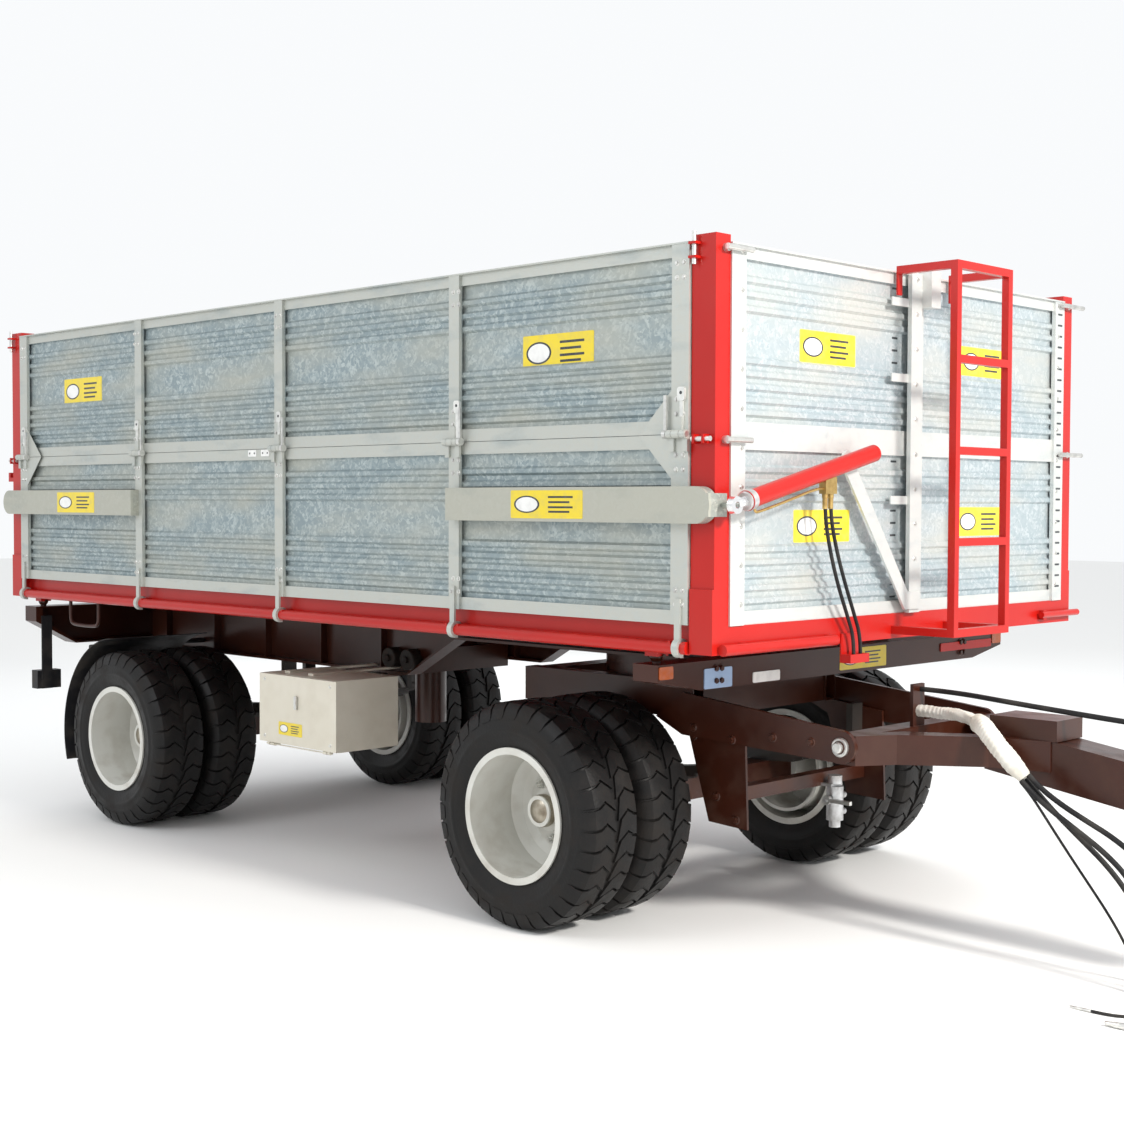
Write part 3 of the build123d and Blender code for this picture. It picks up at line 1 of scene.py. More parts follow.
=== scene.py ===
import bmesh
import bpy
import json
import math
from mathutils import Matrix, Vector


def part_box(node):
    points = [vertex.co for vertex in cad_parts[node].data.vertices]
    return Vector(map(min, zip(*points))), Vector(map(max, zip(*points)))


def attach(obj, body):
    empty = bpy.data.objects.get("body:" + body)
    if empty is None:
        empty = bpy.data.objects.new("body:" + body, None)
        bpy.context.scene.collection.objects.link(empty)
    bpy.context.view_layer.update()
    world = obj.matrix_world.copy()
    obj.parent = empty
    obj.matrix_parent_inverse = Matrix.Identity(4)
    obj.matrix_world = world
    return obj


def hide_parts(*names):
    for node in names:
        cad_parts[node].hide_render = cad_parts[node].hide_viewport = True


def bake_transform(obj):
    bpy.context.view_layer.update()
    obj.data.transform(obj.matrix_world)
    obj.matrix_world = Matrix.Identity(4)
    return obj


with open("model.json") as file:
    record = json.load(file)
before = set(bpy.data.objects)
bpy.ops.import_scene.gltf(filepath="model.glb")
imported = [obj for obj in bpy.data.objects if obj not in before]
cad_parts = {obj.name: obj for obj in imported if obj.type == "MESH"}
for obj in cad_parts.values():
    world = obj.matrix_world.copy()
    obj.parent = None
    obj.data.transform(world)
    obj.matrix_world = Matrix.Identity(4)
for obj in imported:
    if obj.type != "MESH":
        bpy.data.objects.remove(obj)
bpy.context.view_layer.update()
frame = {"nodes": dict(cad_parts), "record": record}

# ---- ground, light and camera --------------------------------------------------------------
# The trailer stands on its wheels on pale ground, drawbar towards +X. Lengths along it are
# given from the front plane of the body, which is 1.5 m behind the tow eye.
tow_bore = next(m for m in frame["record"]["mounts"] if m["name"] == "tow_eye_bore")
FRONT = tow_bore["pos_m"][0] - 1.5
scene = bpy.context.scene


def add(name, data):
    made = bpy.data.objects.new(name, data)
    scene.collection.objects.link(made)
    return made


ground = bpy.data.meshes.new("ground")
ground.from_pydata([(-40, -40, 0), (40, -40, 0), (40, 40, 0), (-40, 40, 0)], [], [(0, 1, 2, 3)])
pale = bpy.data.materials.new("pale_ground")
pale.use_nodes = True
pale.node_tree.nodes["Principled BSDF"].inputs["Base Color"].default_value = (0.86, 0.86, 0.85, 1)
pale.node_tree.nodes["Principled BSDF"].inputs["Roughness"].default_value = 0.9
ground.materials.append(pale)
add("ground", ground)

sky = bpy.data.worlds.new("studio")
sky.use_nodes = True
sky.node_tree.nodes["Background"].inputs["Color"].default_value = (0.97, 0.985, 1.0, 1)
sky.node_tree.nodes["Background"].inputs["Strength"].default_value = 0.98
scene.world = sky
scene.view_settings.view_transform = "Standard"


def soft_light(name, place, target, size, power, colour):
    lamp = bpy.data.lights.new(name, "AREA")
    lamp.shape = "DISK"
    lamp.size = size
    lamp.energy = power
    lamp.color = colour
    made = add(name, lamp)
    made.location = place
    made.rotation_euler = (Vector(target) - Vector(place)).to_track_quat("-Z", "Y").to_euler()


soft_light("key", (FRONT + 7.0, -1.0, 5.5), (FRONT, 0, 1.4), 1.2, 880, (1.0, 0.97, 0.92))
soft_light("fill", (-2.0, -8.5, 6.0), (-1.0, 0, 1.4), 4.0, 170, (0.94, 0.97, 1.0))
soft_light("back", (-6.0, 6.0, 6.0), (0, 0, 1.5), 5.0, 220, (0.95, 0.97, 1.0))

lens = bpy.data.cameras.new("camera")
lens.sensor_width = 36
lens.lens = 53.07
camera = add("camera", lens)
camera.location = (FRONT + 3.5843, -5.590, 1.6695)
camera.rotation_euler = (math.pi / 2 - 0.0358, -0.0031, 0.7804)
scene.camera = camera


# ---- hoses ---------------------------------------------------------------------------------
# Three oil hoses and the lighting cable hang from the wrapped sleeve in front of the bogie and
# trail on the ground; a brake hose runs on over the beam. Black rubber with woven ply marks.
def blank_finish(name, roughness, metallic=0.0, coat=0.0):
    made = bpy.data.materials.new(name)
    made.use_nodes = True
    shader = made.node_tree.nodes["Principled BSDF"]
    shader.inputs["Roughness"].default_value = roughness
    shader.inputs["Metallic"].default_value = metallic
    shader.inputs["Coat Weight"].default_value = coat
    place = made.node_tree.nodes.new("ShaderNodeTexCoord").outputs["Object"]
    return made, made.node_tree, shader, place


def mottle(tree, place, scale, low=0.35, high=0.65, detail=4.0, stretch=(1, 1, 1)):
    """Noise stretched to 0..1, one patch being about 1/scale metres across."""
    mapping = tree.nodes.new("ShaderNodeMapping")
    mapping.inputs["Scale"].default_value = stretch
    tree.links.new(place, mapping.inputs["Vector"])
    noise = tree.nodes.new("ShaderNodeTexNoise")
    noise.inputs["Scale"].default_value = scale
    noise.inputs["Detail"].default_value = detail
    tree.links.new(mapping.outputs["Vector"], noise.inputs["Vector"])
    return spread(tree, noise.outputs["Fac"], low, high, 0.0, 1.0)


def spread(tree, value, low, high, to_low, to_high):
    made = tree.nodes.new("ShaderNodeMapRange")
    for key, number in (("From Min", low), ("From Max", high), ("To Min", to_low), ("To Max", to_high)):
        made.inputs[key].default_value = number
    tree.links.new(value, made.inputs["Value"])
    return made.outputs["Result"]


def times(tree, first, second):
    made = tree.nodes.new("ShaderNodeMath")
    made.operation = "MULTIPLY"
    tree.links.new(first, made.inputs[0])
    if isinstance(second, float):
        made.inputs[1].default_value = second
    else:
        tree.links.new(second, made.inputs[1])
    return made.outputs["Value"]


def two_tone(tree, factor, first, second):
    """Colour that turns from first to second as factor goes from 0 to 1."""
    made = tree.nodes.new("ShaderNodeMix")
    made.data_type = "RGBA"
    tree.links.new(factor, made.inputs["Factor"])
    for key, colour in ((6, first), (7, second)):
        if isinstance(colour, tuple):
            made.inputs[key].default_value = (*colour, 1)
        else:
            tree.links.new(colour, made.inputs[key])
    return made.outputs[2]


def relief(tree, shader, height, depth, strength=0.5):
    made = tree.nodes.new("ShaderNodeBump")
    made.inputs["Distance"].default_value = depth
    made.inputs["Strength"].default_value = strength
    tree.links.new(height, made.inputs["Height"])
    tree.links.new(made.outputs["Normal"], shader.inputs["Normal"])


def rubber(name, colour, dust, ply):
    made, tree, shader, place = blank_finish(name, 0.55)
    shader.inputs["Specular IOR Level"].default_value = 0.22
    dusty = mottle(tree, place, 9, 0.45, 0.75, 6)
    tree.links.new(two_tone(tree, dusty, colour, dust), shader.inputs["Base Color"])
    tree.links.new(spread(tree, dusty, 0, 1, 0.45, 0.8), shader.inputs["Roughness"])
    relief(tree, shader, mottle(tree, place, ply, 0.3, 0.7, 3), 0.0006, 0.6)
    return made


hose_rubber = rubber("hose_rubber", (0.012, 0.012, 0.013), (0.045, 0.042, 0.038), 420)


def lay_hose(name, route, diameter, finish=hose_rubber):
    """A hose along its route, given from the front plane of the body."""
    data = bpy.data.curves.new(name, "CURVE")
    data.dimensions = "3D"
    data.bevel_depth = diameter / 2
    data.bevel_resolution = 5
    data.resolution_u = 10
    data.use_fill_caps = True
    line = data.splines.new("NURBS")
    line.points.add(len(route) - 1)
    for point, (x, y, z) in zip(line.points, route):
        point.co = (FRONT + x, y, z, 1)
    line.order_u = 3
    line.use_endpoint_u = True
    data.materials.append(finish)
    return add(name, data)


def from_front(route, index):
    x, y, z = route[index]
    return Vector((FRONT + x, y, z))


def bare_metal(name, colour, worn, roughness, grain=160):
    made, tree, shader, place = blank_finish(name, roughness, 0.9)
    wear = mottle(tree, place, 22, 0.4, 0.7, 6)
    tree.links.new(two_tone(tree, wear, colour, worn), shader.inputs["Base Color"])
    rubbed = min(roughness + 0.25, 1.0)
    tree.links.new(spread(tree, wear, 0, 1, roughness, rubbed), shader.inputs["Roughness"])
    relief(tree, shader, mottle(tree, place, grain, 0.3, 0.7, 3), 0.0004, 0.5)
    return made


bright_zinc = bare_metal("bright_zinc", (0.72, 0.72, 0.69), (0.46, 0.46, 0.45), 0.28)


def plain_mesh(name, form):
    """The bmesh form as a mesh, its faces turned outwards."""
    mesh = bpy.data.meshes.new(name)
    bmesh.ops.recalc_face_normals(form, faces=form.faces)
    form.to_mesh(mesh)
    form.free()
    return mesh


def turned(name, profile, start, along, finish, body, facets=32):
    """A turned piece: (distance, radius) pairs from start in the direction along."""
    along = Vector(along).normalized()
    side = along.orthogonal().normalized()
    other = along.cross(side)
    form = bmesh.new()
    rings = []
    for distance, radius in profile:
        middle = Vector(start) + along * distance
        if radius < 1e-6:
            rings.append([form.verts.new(middle)])
            continue
        turns = [2 * math.pi * k / facets for k in range(facets)]
        spokes = [math.cos(t) * side + math.sin(t) * other for t in turns]
        rings.append([form.verts.new(middle + radius * spoke) for spoke in spokes])
    for first, second in zip(rings, rings[1:]):
        for k in range(facets):
            after = (k + 1) % facets
            corners = [first[k % len(first)], first[after % len(first)],
                       second[after % len(second)], second[k % len(second)]]
            corners = [v for i, v in enumerate(corners) if v not in corners[:i]]
            if len(corners) > 2:
                form.faces.new(corners)
    for ring in (rings[0], rings[-1]):
        if len(ring) > 1:
            form.faces.new(ring)
    return shaped(name, form, finish, body)


def shaped(name, form, finish, body, crease=0.6):
    """The bmesh form as a finished piece that rides on a body."""
    mesh = plain_mesh(name, form)
    mesh.shade_smooth()
    mesh.set_sharp_from_angle(angle=crease)
    mesh.materials.append(finish)
    made = add(name, mesh)
    if body:
        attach(made, body)
    return made


def quick_coupling(name, route, diameter):
    """Ribbed sleeve, hexagon and nipple of a push-in coupling on the end of a hose."""
    reach = diameter * 0.53
    shares = [(-0.012, 0.0), (-0.012, 0.97), (0.004, 0.97), (0.005, 1.0), (0.016, 1.0), (0.017, 0.9),
              (0.019, 0.9), (0.020, 1.0), (0.034, 1.0), (0.035, 0.82), (0.044, 0.82), (0.045, 0.7),
              (0.062, 0.7), (0.064, 0.6), (0.0655, 0.35), (0.0655, 0.0)]
    profile = [(distance, reach * share) for distance, share in shares]
    end = from_front(route, -1)
    return turned(name, profile, end, end - from_front(route, -2), bright_zinc, "drawbar")


TRAILING = {
    "supply_hose_1": (0.02, 1.625, "fitting", [(0.6142, -0.205, 0.6981), (0.6542, -0.2028, 0.659),
        (0.738, -0.202, 0.608), (0.835, -0.201, 0.562), (0.933, -0.199, 0.518), (1.03, -0.196, 0.455),
        (1.108, -0.196, 0.37), (1.163, -0.2, 0.27), (1.205, -0.208, 0.165), (1.255, -0.228, 0.065),
        (1.33, -0.264, 0.014), (1.412, -0.312, 0.011), (1.468, -0.395, 0.011), (1.455, -0.5, 0.011),
        (1.385, -0.58, 0.011), (1.29, -0.62, 0.011), (1.195, -0.628, 0.011)]),
    "supply_hose_2": (0.02, 1.35, "fitting", [(0.5951, -0.223, 0.6776), (0.6351, -0.2208, 0.6385),
        (0.715, -0.224, 0.585), (0.815, -0.224, 0.527), (0.92, -0.222, 0.463), (1.005, -0.222, 0.39),
        (1.065, -0.226, 0.295), (1.108, -0.234, 0.19), (1.148, -0.25, 0.092), (1.212, -0.285, 0.022),
        (1.296, -0.335, 0.011), (1.362, -0.4, 0.011), (1.368, -0.48, 0.011), (1.312, -0.538, 0.011),
        (1.232, -0.552, 0.011)]),
    "supply_hose_3": (0.02, 1.49, "fitting", [(0.5941, -0.187, 0.6786), (0.6341, -0.1848, 0.6395),
        (0.705, -0.18, 0.57), (0.8, -0.172, 0.49), (0.905, -0.162, 0.401), (0.985, -0.15, 0.3),
        (1.04, -0.136, 0.19), (1.09, -0.112, 0.085), (1.16, -0.07, 0.02), (1.248, -0.02, 0.011),
        (1.338, 0.05, 0.011), (1.395, 0.14, 0.011), (1.374, 0.236, 0.011), (1.29, 0.29, 0.011),
        (1.195, 0.292, 0.011)]),
    "lighting_cable": (0.01, 1.235, "plug", [(0.5834, -0.205, 0.6666), (0.6163, -0.2032, 0.6345),
        (0.664, -0.202, 0.574), (0.722, -0.203, 0.5), (0.79, -0.204, 0.415), (0.86, -0.205, 0.33),
        (0.925, -0.207, 0.251), (0.984, -0.211, 0.17), (1.034, -0.224, 0.09), (1.078, -0.254, 0.026),
        (1.128, -0.308, 0.006), (1.168, -0.376, 0.006), (1.178, -0.448, 0.006), (1.15, -0.508, 0.006),
        (1.09, -0.536, 0.006), (1.022, -0.536, 0.006)]),
    "brake_hose": (0.02, 1.365, "fitting", [(0.062, -0.046, 0.95), (0.208, -0.046, 0.95),
        (0.46, -0.056, 0.932), (0.7, -0.058, 0.916), (0.94, -0.054, 0.9), (1.095, -0.036, 0.896),
        (1.182, 0, 0.884), (1.245, 0.056, 0.856), (1.275, 0.112, 0.802), (1.284, 0.126, 0.734)]),
}
for name, (diameter, length, end, route) in TRAILING.items():
    hose = lay_hose(name + "_line", route, diameter)
    joint = quick_coupling(name + "_coupling", route, diameter)
    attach(hose, "drawbar")
    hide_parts(name)
    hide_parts("hose_couplings")


# ---- chassis and axles ---------------------------------------------------------------------
# Welded side beams, cross tubes and bolsters in dark red-brown machine enamel, which is duller
# and dustier low down. The two slewing rings are rolled steel in the same enamel.
def finish_nodes(finish, *names):
    for name in names:
        for place in frame["nodes"][name].material_slots:
            place.material = finish


def enamel(name, colour, faded, roughness, dust=(0.11, 0.06, 0.035), dust_share=0.35, dust_top=1.0):
    """Paint that fades in patches and carries dust on its lower parts, up to dust_top metres."""
    made, tree, shader, place = blank_finish(name, roughness, coat=0.12)
    shader.inputs["Coat Roughness"].default_value = 0.2
    shader.inputs["Specular IOR Level"].default_value = 0.32
    fade = mottle(tree, place, 2.1, 0.3, 0.7, 5)
    tone = two_tone(tree, fade, colour, faded)
    heights = tree.nodes.new("ShaderNodeSeparateXYZ")
    tree.links.new(place, heights.inputs["Vector"])
    low_down = spread(tree, heights.outputs["Z"], 0.2, dust_top, 1.0, 0.15)
    grime = times(tree, mottle(tree, place, 11, 0.45, 0.8, 8), low_down)
    tone = two_tone(tree, times(tree, grime, dust_share), tone, dust)
    tree.links.new(tone, shader.inputs["Base Color"])
    tree.links.new(spread(tree, grime, 0, 1, roughness, 0.75), shader.inputs["Roughness"])
    relief(tree, shader, mottle(tree, place, 260, 0.3, 0.7, 2), 0.0003, 0.35)
    return made


chassis_enamel = enamel("chassis_enamel", (0.030, 0.0070, 0.0032), (0.050, 0.0120, 0.0055), 0.30)
finish_nodes(chassis_enamel, "chassis_side_beams", "chassis_cross_members", "chassis_bolsters",
             "turntable_upper_ring", "turntable_lower_ring", "rear_axle", "front_axle", "bogie_frame",
             "drawbar_frame")
spring_steel = enamel("spring_steel", (0.020, 0.018, 0.017), (0.05, 0.04, 0.034), 0.5)
finish_nodes(spring_steel, "rear_leaf_springs", "front_leaf_springs")


# ---- tow eye, brake valve and their fittings -----------------------------------------------
# The tow eye is forged and left bare; the brake valve is cast light alloy with a zinc lever.
forged_eye = bare_metal("forged_eye", (0.13, 0.12, 0.12), (0.22, 0.16, 0.12), 0.5, 90)
cast_alloy = bare_metal("cast_alloy", (0.66, 0.67, 0.68), (0.42, 0.41, 0.40), 0.36, 120)
finish_nodes(forged_eye, "tow_eye")
finish_nodes(cast_alloy, "brake_valve")
finish_nodes(bright_zinc, "brake_valve_lever", "post_pins", "right_lock_levers", "left_lock_levers",
             "rear_lock_levers", "tool_box_latch")


# ---- platform, posts and ladder ------------------------------------------------------------
# Bright red enamel on the welded platform, the corner posts and the ladder. The floor is a
# steel plate scoured by the load.
body_red = enamel("body_red", (0.40, 0.006, 0.004), (0.46, 0.010, 0.006), 0.30, (0.22, 0.05, 0.03), 0.30, 1.3)
finish_nodes(body_red, "platform_frame", "hinge_tubes", "corner_posts", "ladder", "cylinder_barrel")
scoured_floor = bare_metal("scoured_floor", (0.30, 0.29, 0.28), (0.20, 0.13, 0.09), 0.45, 60)
finish_nodes(scoured_floor, "platform_floor")


# ---- galvanised boards ---------------------------------------------------------------------
# Ribbed sheet welded into folded rails and stanchions, all hot-dip galvanised. The sheet is
# blue-grey with small crystals and beige patches; the folded steel took more zinc and is whiter.
def galvanised(name, bright, dull, patch, folded, across, plane, metal=0.5):
    """Zinc that turns to the folded colour where |across| is beyond plane, in metres."""
    made, tree, shader, place = blank_finish(name, 0.42, metal)
    warp = tree.nodes.new("ShaderNodeTexNoise")
    warp.inputs["Scale"].default_value = 18
    tree.links.new(place, warp.inputs["Vector"])
    wavy = tree.nodes.new("ShaderNodeMix")
    wavy.data_type = "RGBA"
    wavy.blend_type = "LINEAR_LIGHT"
    wavy.inputs["Factor"].default_value = 0.02
    tree.links.new(place, wavy.inputs[6])
    tree.links.new(warp.outputs["Color"], wavy.inputs[7])
    crystals = []
    for scale in (46, 105):
        cells = tree.nodes.new("ShaderNodeTexVoronoi")
        cells.inputs["Scale"].default_value = scale
        tree.links.new(wavy.outputs[2], cells.inputs["Vector"])
        grey = tree.nodes.new("ShaderNodeSeparateColor")
        tree.links.new(cells.outputs["Color"], grey.inputs["Color"])
        crystals.append(grey.outputs["Red"])
    spangle = times(tree, crystals[0], crystals[1])
    tone = two_tone(tree, spread(tree, spangle, 0.0, 0.7, 0, 1), dull, bright)
    runs = mottle(tree, place, 2.6, 0.42, 0.68, 7, (0.7, 0.7, 2.2))
    tone = two_tone(tree, times(tree, runs, 0.7), tone, patch)
    stains = mottle(tree, place, 7.5, 0.55, 0.8, 10, (0.5, 0.5, 1.6))
    tone = two_tone(tree, times(tree, stains, 0.45), tone, dull)
    parts = tree.nodes.new("ShaderNodeSeparateXYZ")
    tree.links.new(place, parts.inputs["Vector"])
    away = tree.nodes.new("ShaderNodeMath")
    away.operation = "ABSOLUTE"
    tree.links.new(parts.outputs[across], away.inputs[0])
    proud = spread(tree, away.outputs["Value"], plane - 0.001, plane + 0.001, 0, 1)
    grained = two_tone(tree, times(tree, stains, 0.6), folded, dull)
    grained = two_tone(tree, times(tree, spangle, 0.35), grained, bright)
    tone = two_tone(tree, proud, tone, grained)
    tree.links.new(tone, shader.inputs["Base Color"])
    tree.links.new(spread(tree, spangle, 0, 0.8, 0.52, 0.36), shader.inputs["Roughness"])
    relief(tree, shader, spangle, 0.0004, 0.22)
    return made


SHEET_TONES = ((0.44, 0.50, 0.50), (0.25, 0.31, 0.33), (0.44, 0.44, 0.38), (0.50, 0.51, 0.47))
# The front wall and its bracket are the same zinc as the side boards but in lighter tones: painted light, as
# if lit full on from the front.
WALL_TONES_PAINTED_LIGHT = ((0.56, 0.61, 0.63), (0.38, 0.45, 0.48), (0.58, 0.57, 0.52), (0.62, 0.63, 0.61))
ARM_TONES = ((0.46, 0.47, 0.42), (0.32, 0.34, 0.31), (0.40, 0.39, 0.32), (0.44, 0.44, 0.38))
side_zinc = galvanised("side_zinc", *SHEET_TONES, "Y", 1.2322)
rear_zinc = galvanised("rear_zinc", *SHEET_TONES, "X", 4.9672 - FRONT)
front_zinc = galvanised("front_zinc", *WALL_TONES_PAINTED_LIGHT, "X", FRONT - 0.0085)
arm_zinc = galvanised("arm_zinc", *ARM_TONES, "Y", 1.28)
finish_nodes(side_zinc, "right_lower_board", "right_upper_board", "left_lower_board", "left_upper_board")
finish_nodes(rear_zinc, "rear_lower_board", "rear_upper_board")
finish_nodes(arm_zinc, "lifting_arms")
finish_nodes(front_zinc, "front_wall", "cylinder_bracket")


# ---- lifting cylinder and tipping ram ------------------------------------------------------
# The rods are ground and chromed, the valve block is brass, and the ram's barrel is painted.
chrome = bare_metal("chrome", (0.86, 0.86, 0.87), (0.78, 0.78, 0.80), 0.08, 300)
brass = bare_metal("brass", (0.60, 0.43, 0.16), (0.38, 0.25, 0.09), 0.26, 200)
finish_nodes(chrome, "cylinder_rod", "ram_middle_stage", "ram_inner_stage")
finish_nodes(brass, "cylinder_valve")
finish_nodes(chassis_enamel, "ram_barrel")


# ---- wheels --------------------------------------------------------------------------------
# Deep-dish steel rims in cream enamel; rubber tyres on them.
rim_cream = enamel("rim_cream", (0.66, 0.66, 0.62), (0.58, 0.57, 0.52), 0.33, (0.30, 0.25, 0.19), 0.5, 0.9)
tyre_rubber = rubber("tyre_rubber", (0.0085, 0.008, 0.008), (0.020, 0.017, 0.015), 90)
for end in ("front", "rear"):
    for side in ("right", "left"):
        finish_nodes(rim_cream, f"{end}_{side}_wheels")
        finish_nodes(tyre_rubber, f"{end}_{side}_tyres")


# ---- tool box, mudguards and hose coverings ------------------------------------------------
# A folded sheet box in cream enamel with a drop-down lid, and pressed black guards on tubular
# stays behind the rear tyres. The hoses in front are bound in off-white tape.
box_cream = enamel("box_cream", (0.70, 0.67, 0.58), (0.62, 0.58, 0.48), 0.36, (0.34, 0.28, 0.2), 0.35, 1.1)
finish_nodes(box_cream, "tool_box", "tool_box_lid")
guard_black = rubber("guard_black", (0.02, 0.02, 0.022), (0.06, 0.052, 0.045), 60)
finish_nodes(guard_black, "rear_mudguards", "rear_lamps")
wrap_cloth = rubber("wrap_cloth", (0.74, 0.72, 0.66), (0.50, 0.47, 0.40), 220)
finish_nodes(wrap_cloth, "hose_sleeve")
finish_nodes(hose_rubber, "cylinder_hose_right", "cylinder_hose_left")


# ---- tyres ---------------------------------------------------------------------------------
# Eight cross-ply farm tyres, twin on each hub. The carcass is a turned section with a ridge on the
# sidewall; broad angled lugs with narrow grooves run over the shoulders, 34 to a turn.
AXLE_HEIGHT = 0.4475
TWIN_PLACES = (1.037, 0.717)
CARCASS = [(0.112, 0.2515), (0.1185, 0.2535), (0.1205, 0.262), (0.1225, 0.275), (0.129, 0.290),
           (0.1345, 0.305), (0.1385, 0.322), (0.1395, 0.330), (0.1412, 0.333), (0.1412, 0.345),
           (0.1398, 0.348), (0.1400, 0.368), (0.1375, 0.388), (0.133, 0.402), (0.126, 0.414),
           (0.116, 0.424), (0.100, 0.431), (0.075, 0.4355), (0.040, 0.4365)]
CROWN = [(0.0, 0.4475), (0.090, 0.4475), (0.112, 0.4415), (0.1325, 0.418), (0.1405, 0.385), (0.1425, 0.350)]
LUG_LINE = [(0.004, -0.022), (0.030, -0.002), (0.058, 0.020), (0.088, 0.002), (0.112, -0.002),
            (0.140, -0.002), (0.165, -0.002), (0.182, -0.002)]
LUGS = 34
LUG_DEPTH = 0.012
LUG_GROOVE = 0.012
LUG_LEAN = 0.020            # skew of a lug's inner end
LUG_TIP = 0.008             # how much a lug narrows at its outer end
LUG_DRAFT = 0.002           # how much wider a lug is at its root


def on_crown(along, lift):
    """Distance from the tyre's middle and radius at an arc length over the crown."""
    side = -1 if along < 0 else 1
    left = abs(along)
    for (y0, r0), (y1, r1) in zip(CROWN, CROWN[1:]):
        run = math.hypot(y1 - y0, r1 - r0)
        if left <= run:
            share = left / run
            out = ((r0 - r1) / run, (y1 - y0) / run)
            return side * (y0 + share * (y1 - y0) + out[0] * lift), r0 + share * (r1 - r0) + out[1] * lift
        left -= run
    return side * CROWN[-1][0], CROWN[-1][1]


def lug(form, side, turn, middle):
    """One block from the middle of the crown to the shoulder, its inner end cut on the skew."""
    half = math.pi * CROWN[0][1] / LUGS - LUG_GROOVE / 2
    rows = []
    for k, (along, line) in enumerate(LUG_LINE):
        row = []
        for way, lift in ((-1, 0.0), (1, 0.0), (1, -LUG_DEPTH), (-1, -LUG_DEPTH)):
            skew = LUG_LEAN if k == 0 and way > 0 else 0.0
            y, radius = on_crown(side * (along + skew), lift)
            tip = LUG_TIP if k == len(LUG_LINE) - 1 else 0.0
            reach = half - tip + (LUG_DRAFT if lift else 0.0)
            angle = turn + (line + skew * 0.8 + way * reach) / CROWN[0][1]
            row.append(form.verts.new((middle[0] + radius * math.cos(angle), middle[1] + y,
                                       middle[2] + radius * math.sin(angle))))
        rows.append(row)
    for first, second in zip(rows, rows[1:]):
        for k in range(4):
            form.faces.new((first[k], first[(k + 1) % 4], second[(k + 1) % 4], second[k]))
    form.faces.new(rows[0])
    form.faces.new(rows[-1])


def opened_tree(name, **inputs):
    """A Geometry Nodes tree with named inputs, their kinds given, and a Finish."""
    tree = bpy.data.node_groups.new(name, "GeometryNodeTree")
    for key, kind in {"Geometry": "Geometry", **inputs, "Finish": "Material"}.items():
        tree.interface.new_socket(key, in_out="INPUT", socket_type="NodeSocket" + kind)
    tree.interface.new_socket("Geometry", in_out="OUTPUT", socket_type="NodeSocketGeometry")
    return tree, tree.nodes.new("NodeGroupInput"), tree.nodes.new, tree.links.new


def closed_tree(tree, given, instances):
    """Makes the instances real, in the tree's Finish, as its result."""
    real = tree.nodes.new("GeometryNodeRealizeInstances")
    tree.links.new(instances, real.inputs["Geometry"])
    coat = tree.nodes.new("GeometryNodeSetMaterial")
    tree.links.new(real.outputs["Geometry"], coat.inputs["Geometry"])
    tree.links.new(given.outputs["Finish"], coat.inputs["Material"])
    result = tree.nodes.new("NodeGroupOutput")
    tree.links.new(coat.outputs["Geometry"], result.inputs["Geometry"])
    return tree


def ring_tree():
    """Repeats the incoming piece around an axis through Centre."""
    tree, given, new, link = opened_tree("ring_of_pieces", Count="Int", Centre="Vector", Axis="Vector")
    back = new("ShaderNodeVectorMath")
    back.operation = "SCALE"
    back.inputs["Scale"].default_value = -1.0
    link(given.outputs["Centre"], back.inputs[0])
    to_middle = new("GeometryNodeTransform")
    link(given.outputs["Geometry"], to_middle.inputs["Geometry"])
    link(back.outputs[0], to_middle.inputs["Translation"])
    places = new("GeometryNodeMeshLine")
    places.inputs["Offset"].default_value = (0, 0, 0)
    link(given.outputs["Count"], places.inputs["Count"])
    step = new("ShaderNodeMath")
    step.operation = "DIVIDE"
    step.inputs[0].default_value = 2 * math.pi
    link(given.outputs["Count"], step.inputs[1])
    angle = new("ShaderNodeMath")
    angle.operation = "MULTIPLY"
    link(new("GeometryNodeInputIndex").outputs[0], angle.inputs[0])
    link(step.outputs[0], angle.inputs[1])
    turn = new("FunctionNodeAxisAngleToRotation")
    link(given.outputs["Axis"], turn.inputs["Axis"])
    link(angle.outputs[0], turn.inputs["Angle"])
    copies = new("GeometryNodeInstanceOnPoints")
    link(places.outputs["Mesh"], copies.inputs["Points"])
    link(to_middle.outputs["Geometry"], copies.inputs["Instance"])
    link(turn.outputs["Rotation"], copies.inputs["Rotation"])
    home = new("GeometryNodeTransform")
    link(copies.outputs["Instances"], home.inputs["Geometry"])
    link(given.outputs["Centre"], home.inputs["Translation"])
    return closed_tree(tree, given, home.outputs["Geometry"])


RING = ring_tree()


def grown(name, mesh, tree, finish, body, slot, crease=0.5, **inputs):
    """The mesh after a Geometry Nodes tree, as a plain finished piece on a body."""
    source = add(name + "_source", mesh)
    modifier = source.modifiers.new("grow", "NODES")
    modifier.node_group = tree
    sockets = {item.name: item.identifier for item in tree.interface.items_tree if item.in_out == "INPUT"}
    for key, value in {"Finish": finish, **inputs}.items():
        modifier[sockets[key]] = value
    evaluated = source.evaluated_get(bpy.context.evaluated_depsgraph_get())
    made = bpy.data.meshes.new_from_object(evaluated)
    source.modifiers.clear()
    bpy.data.objects.remove(source)
    made.name = name
    made.shade_smooth()
    made.set_sharp_from_angle(angle=crease)
    piece = add(name, made)
    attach(piece, body)
    return piece


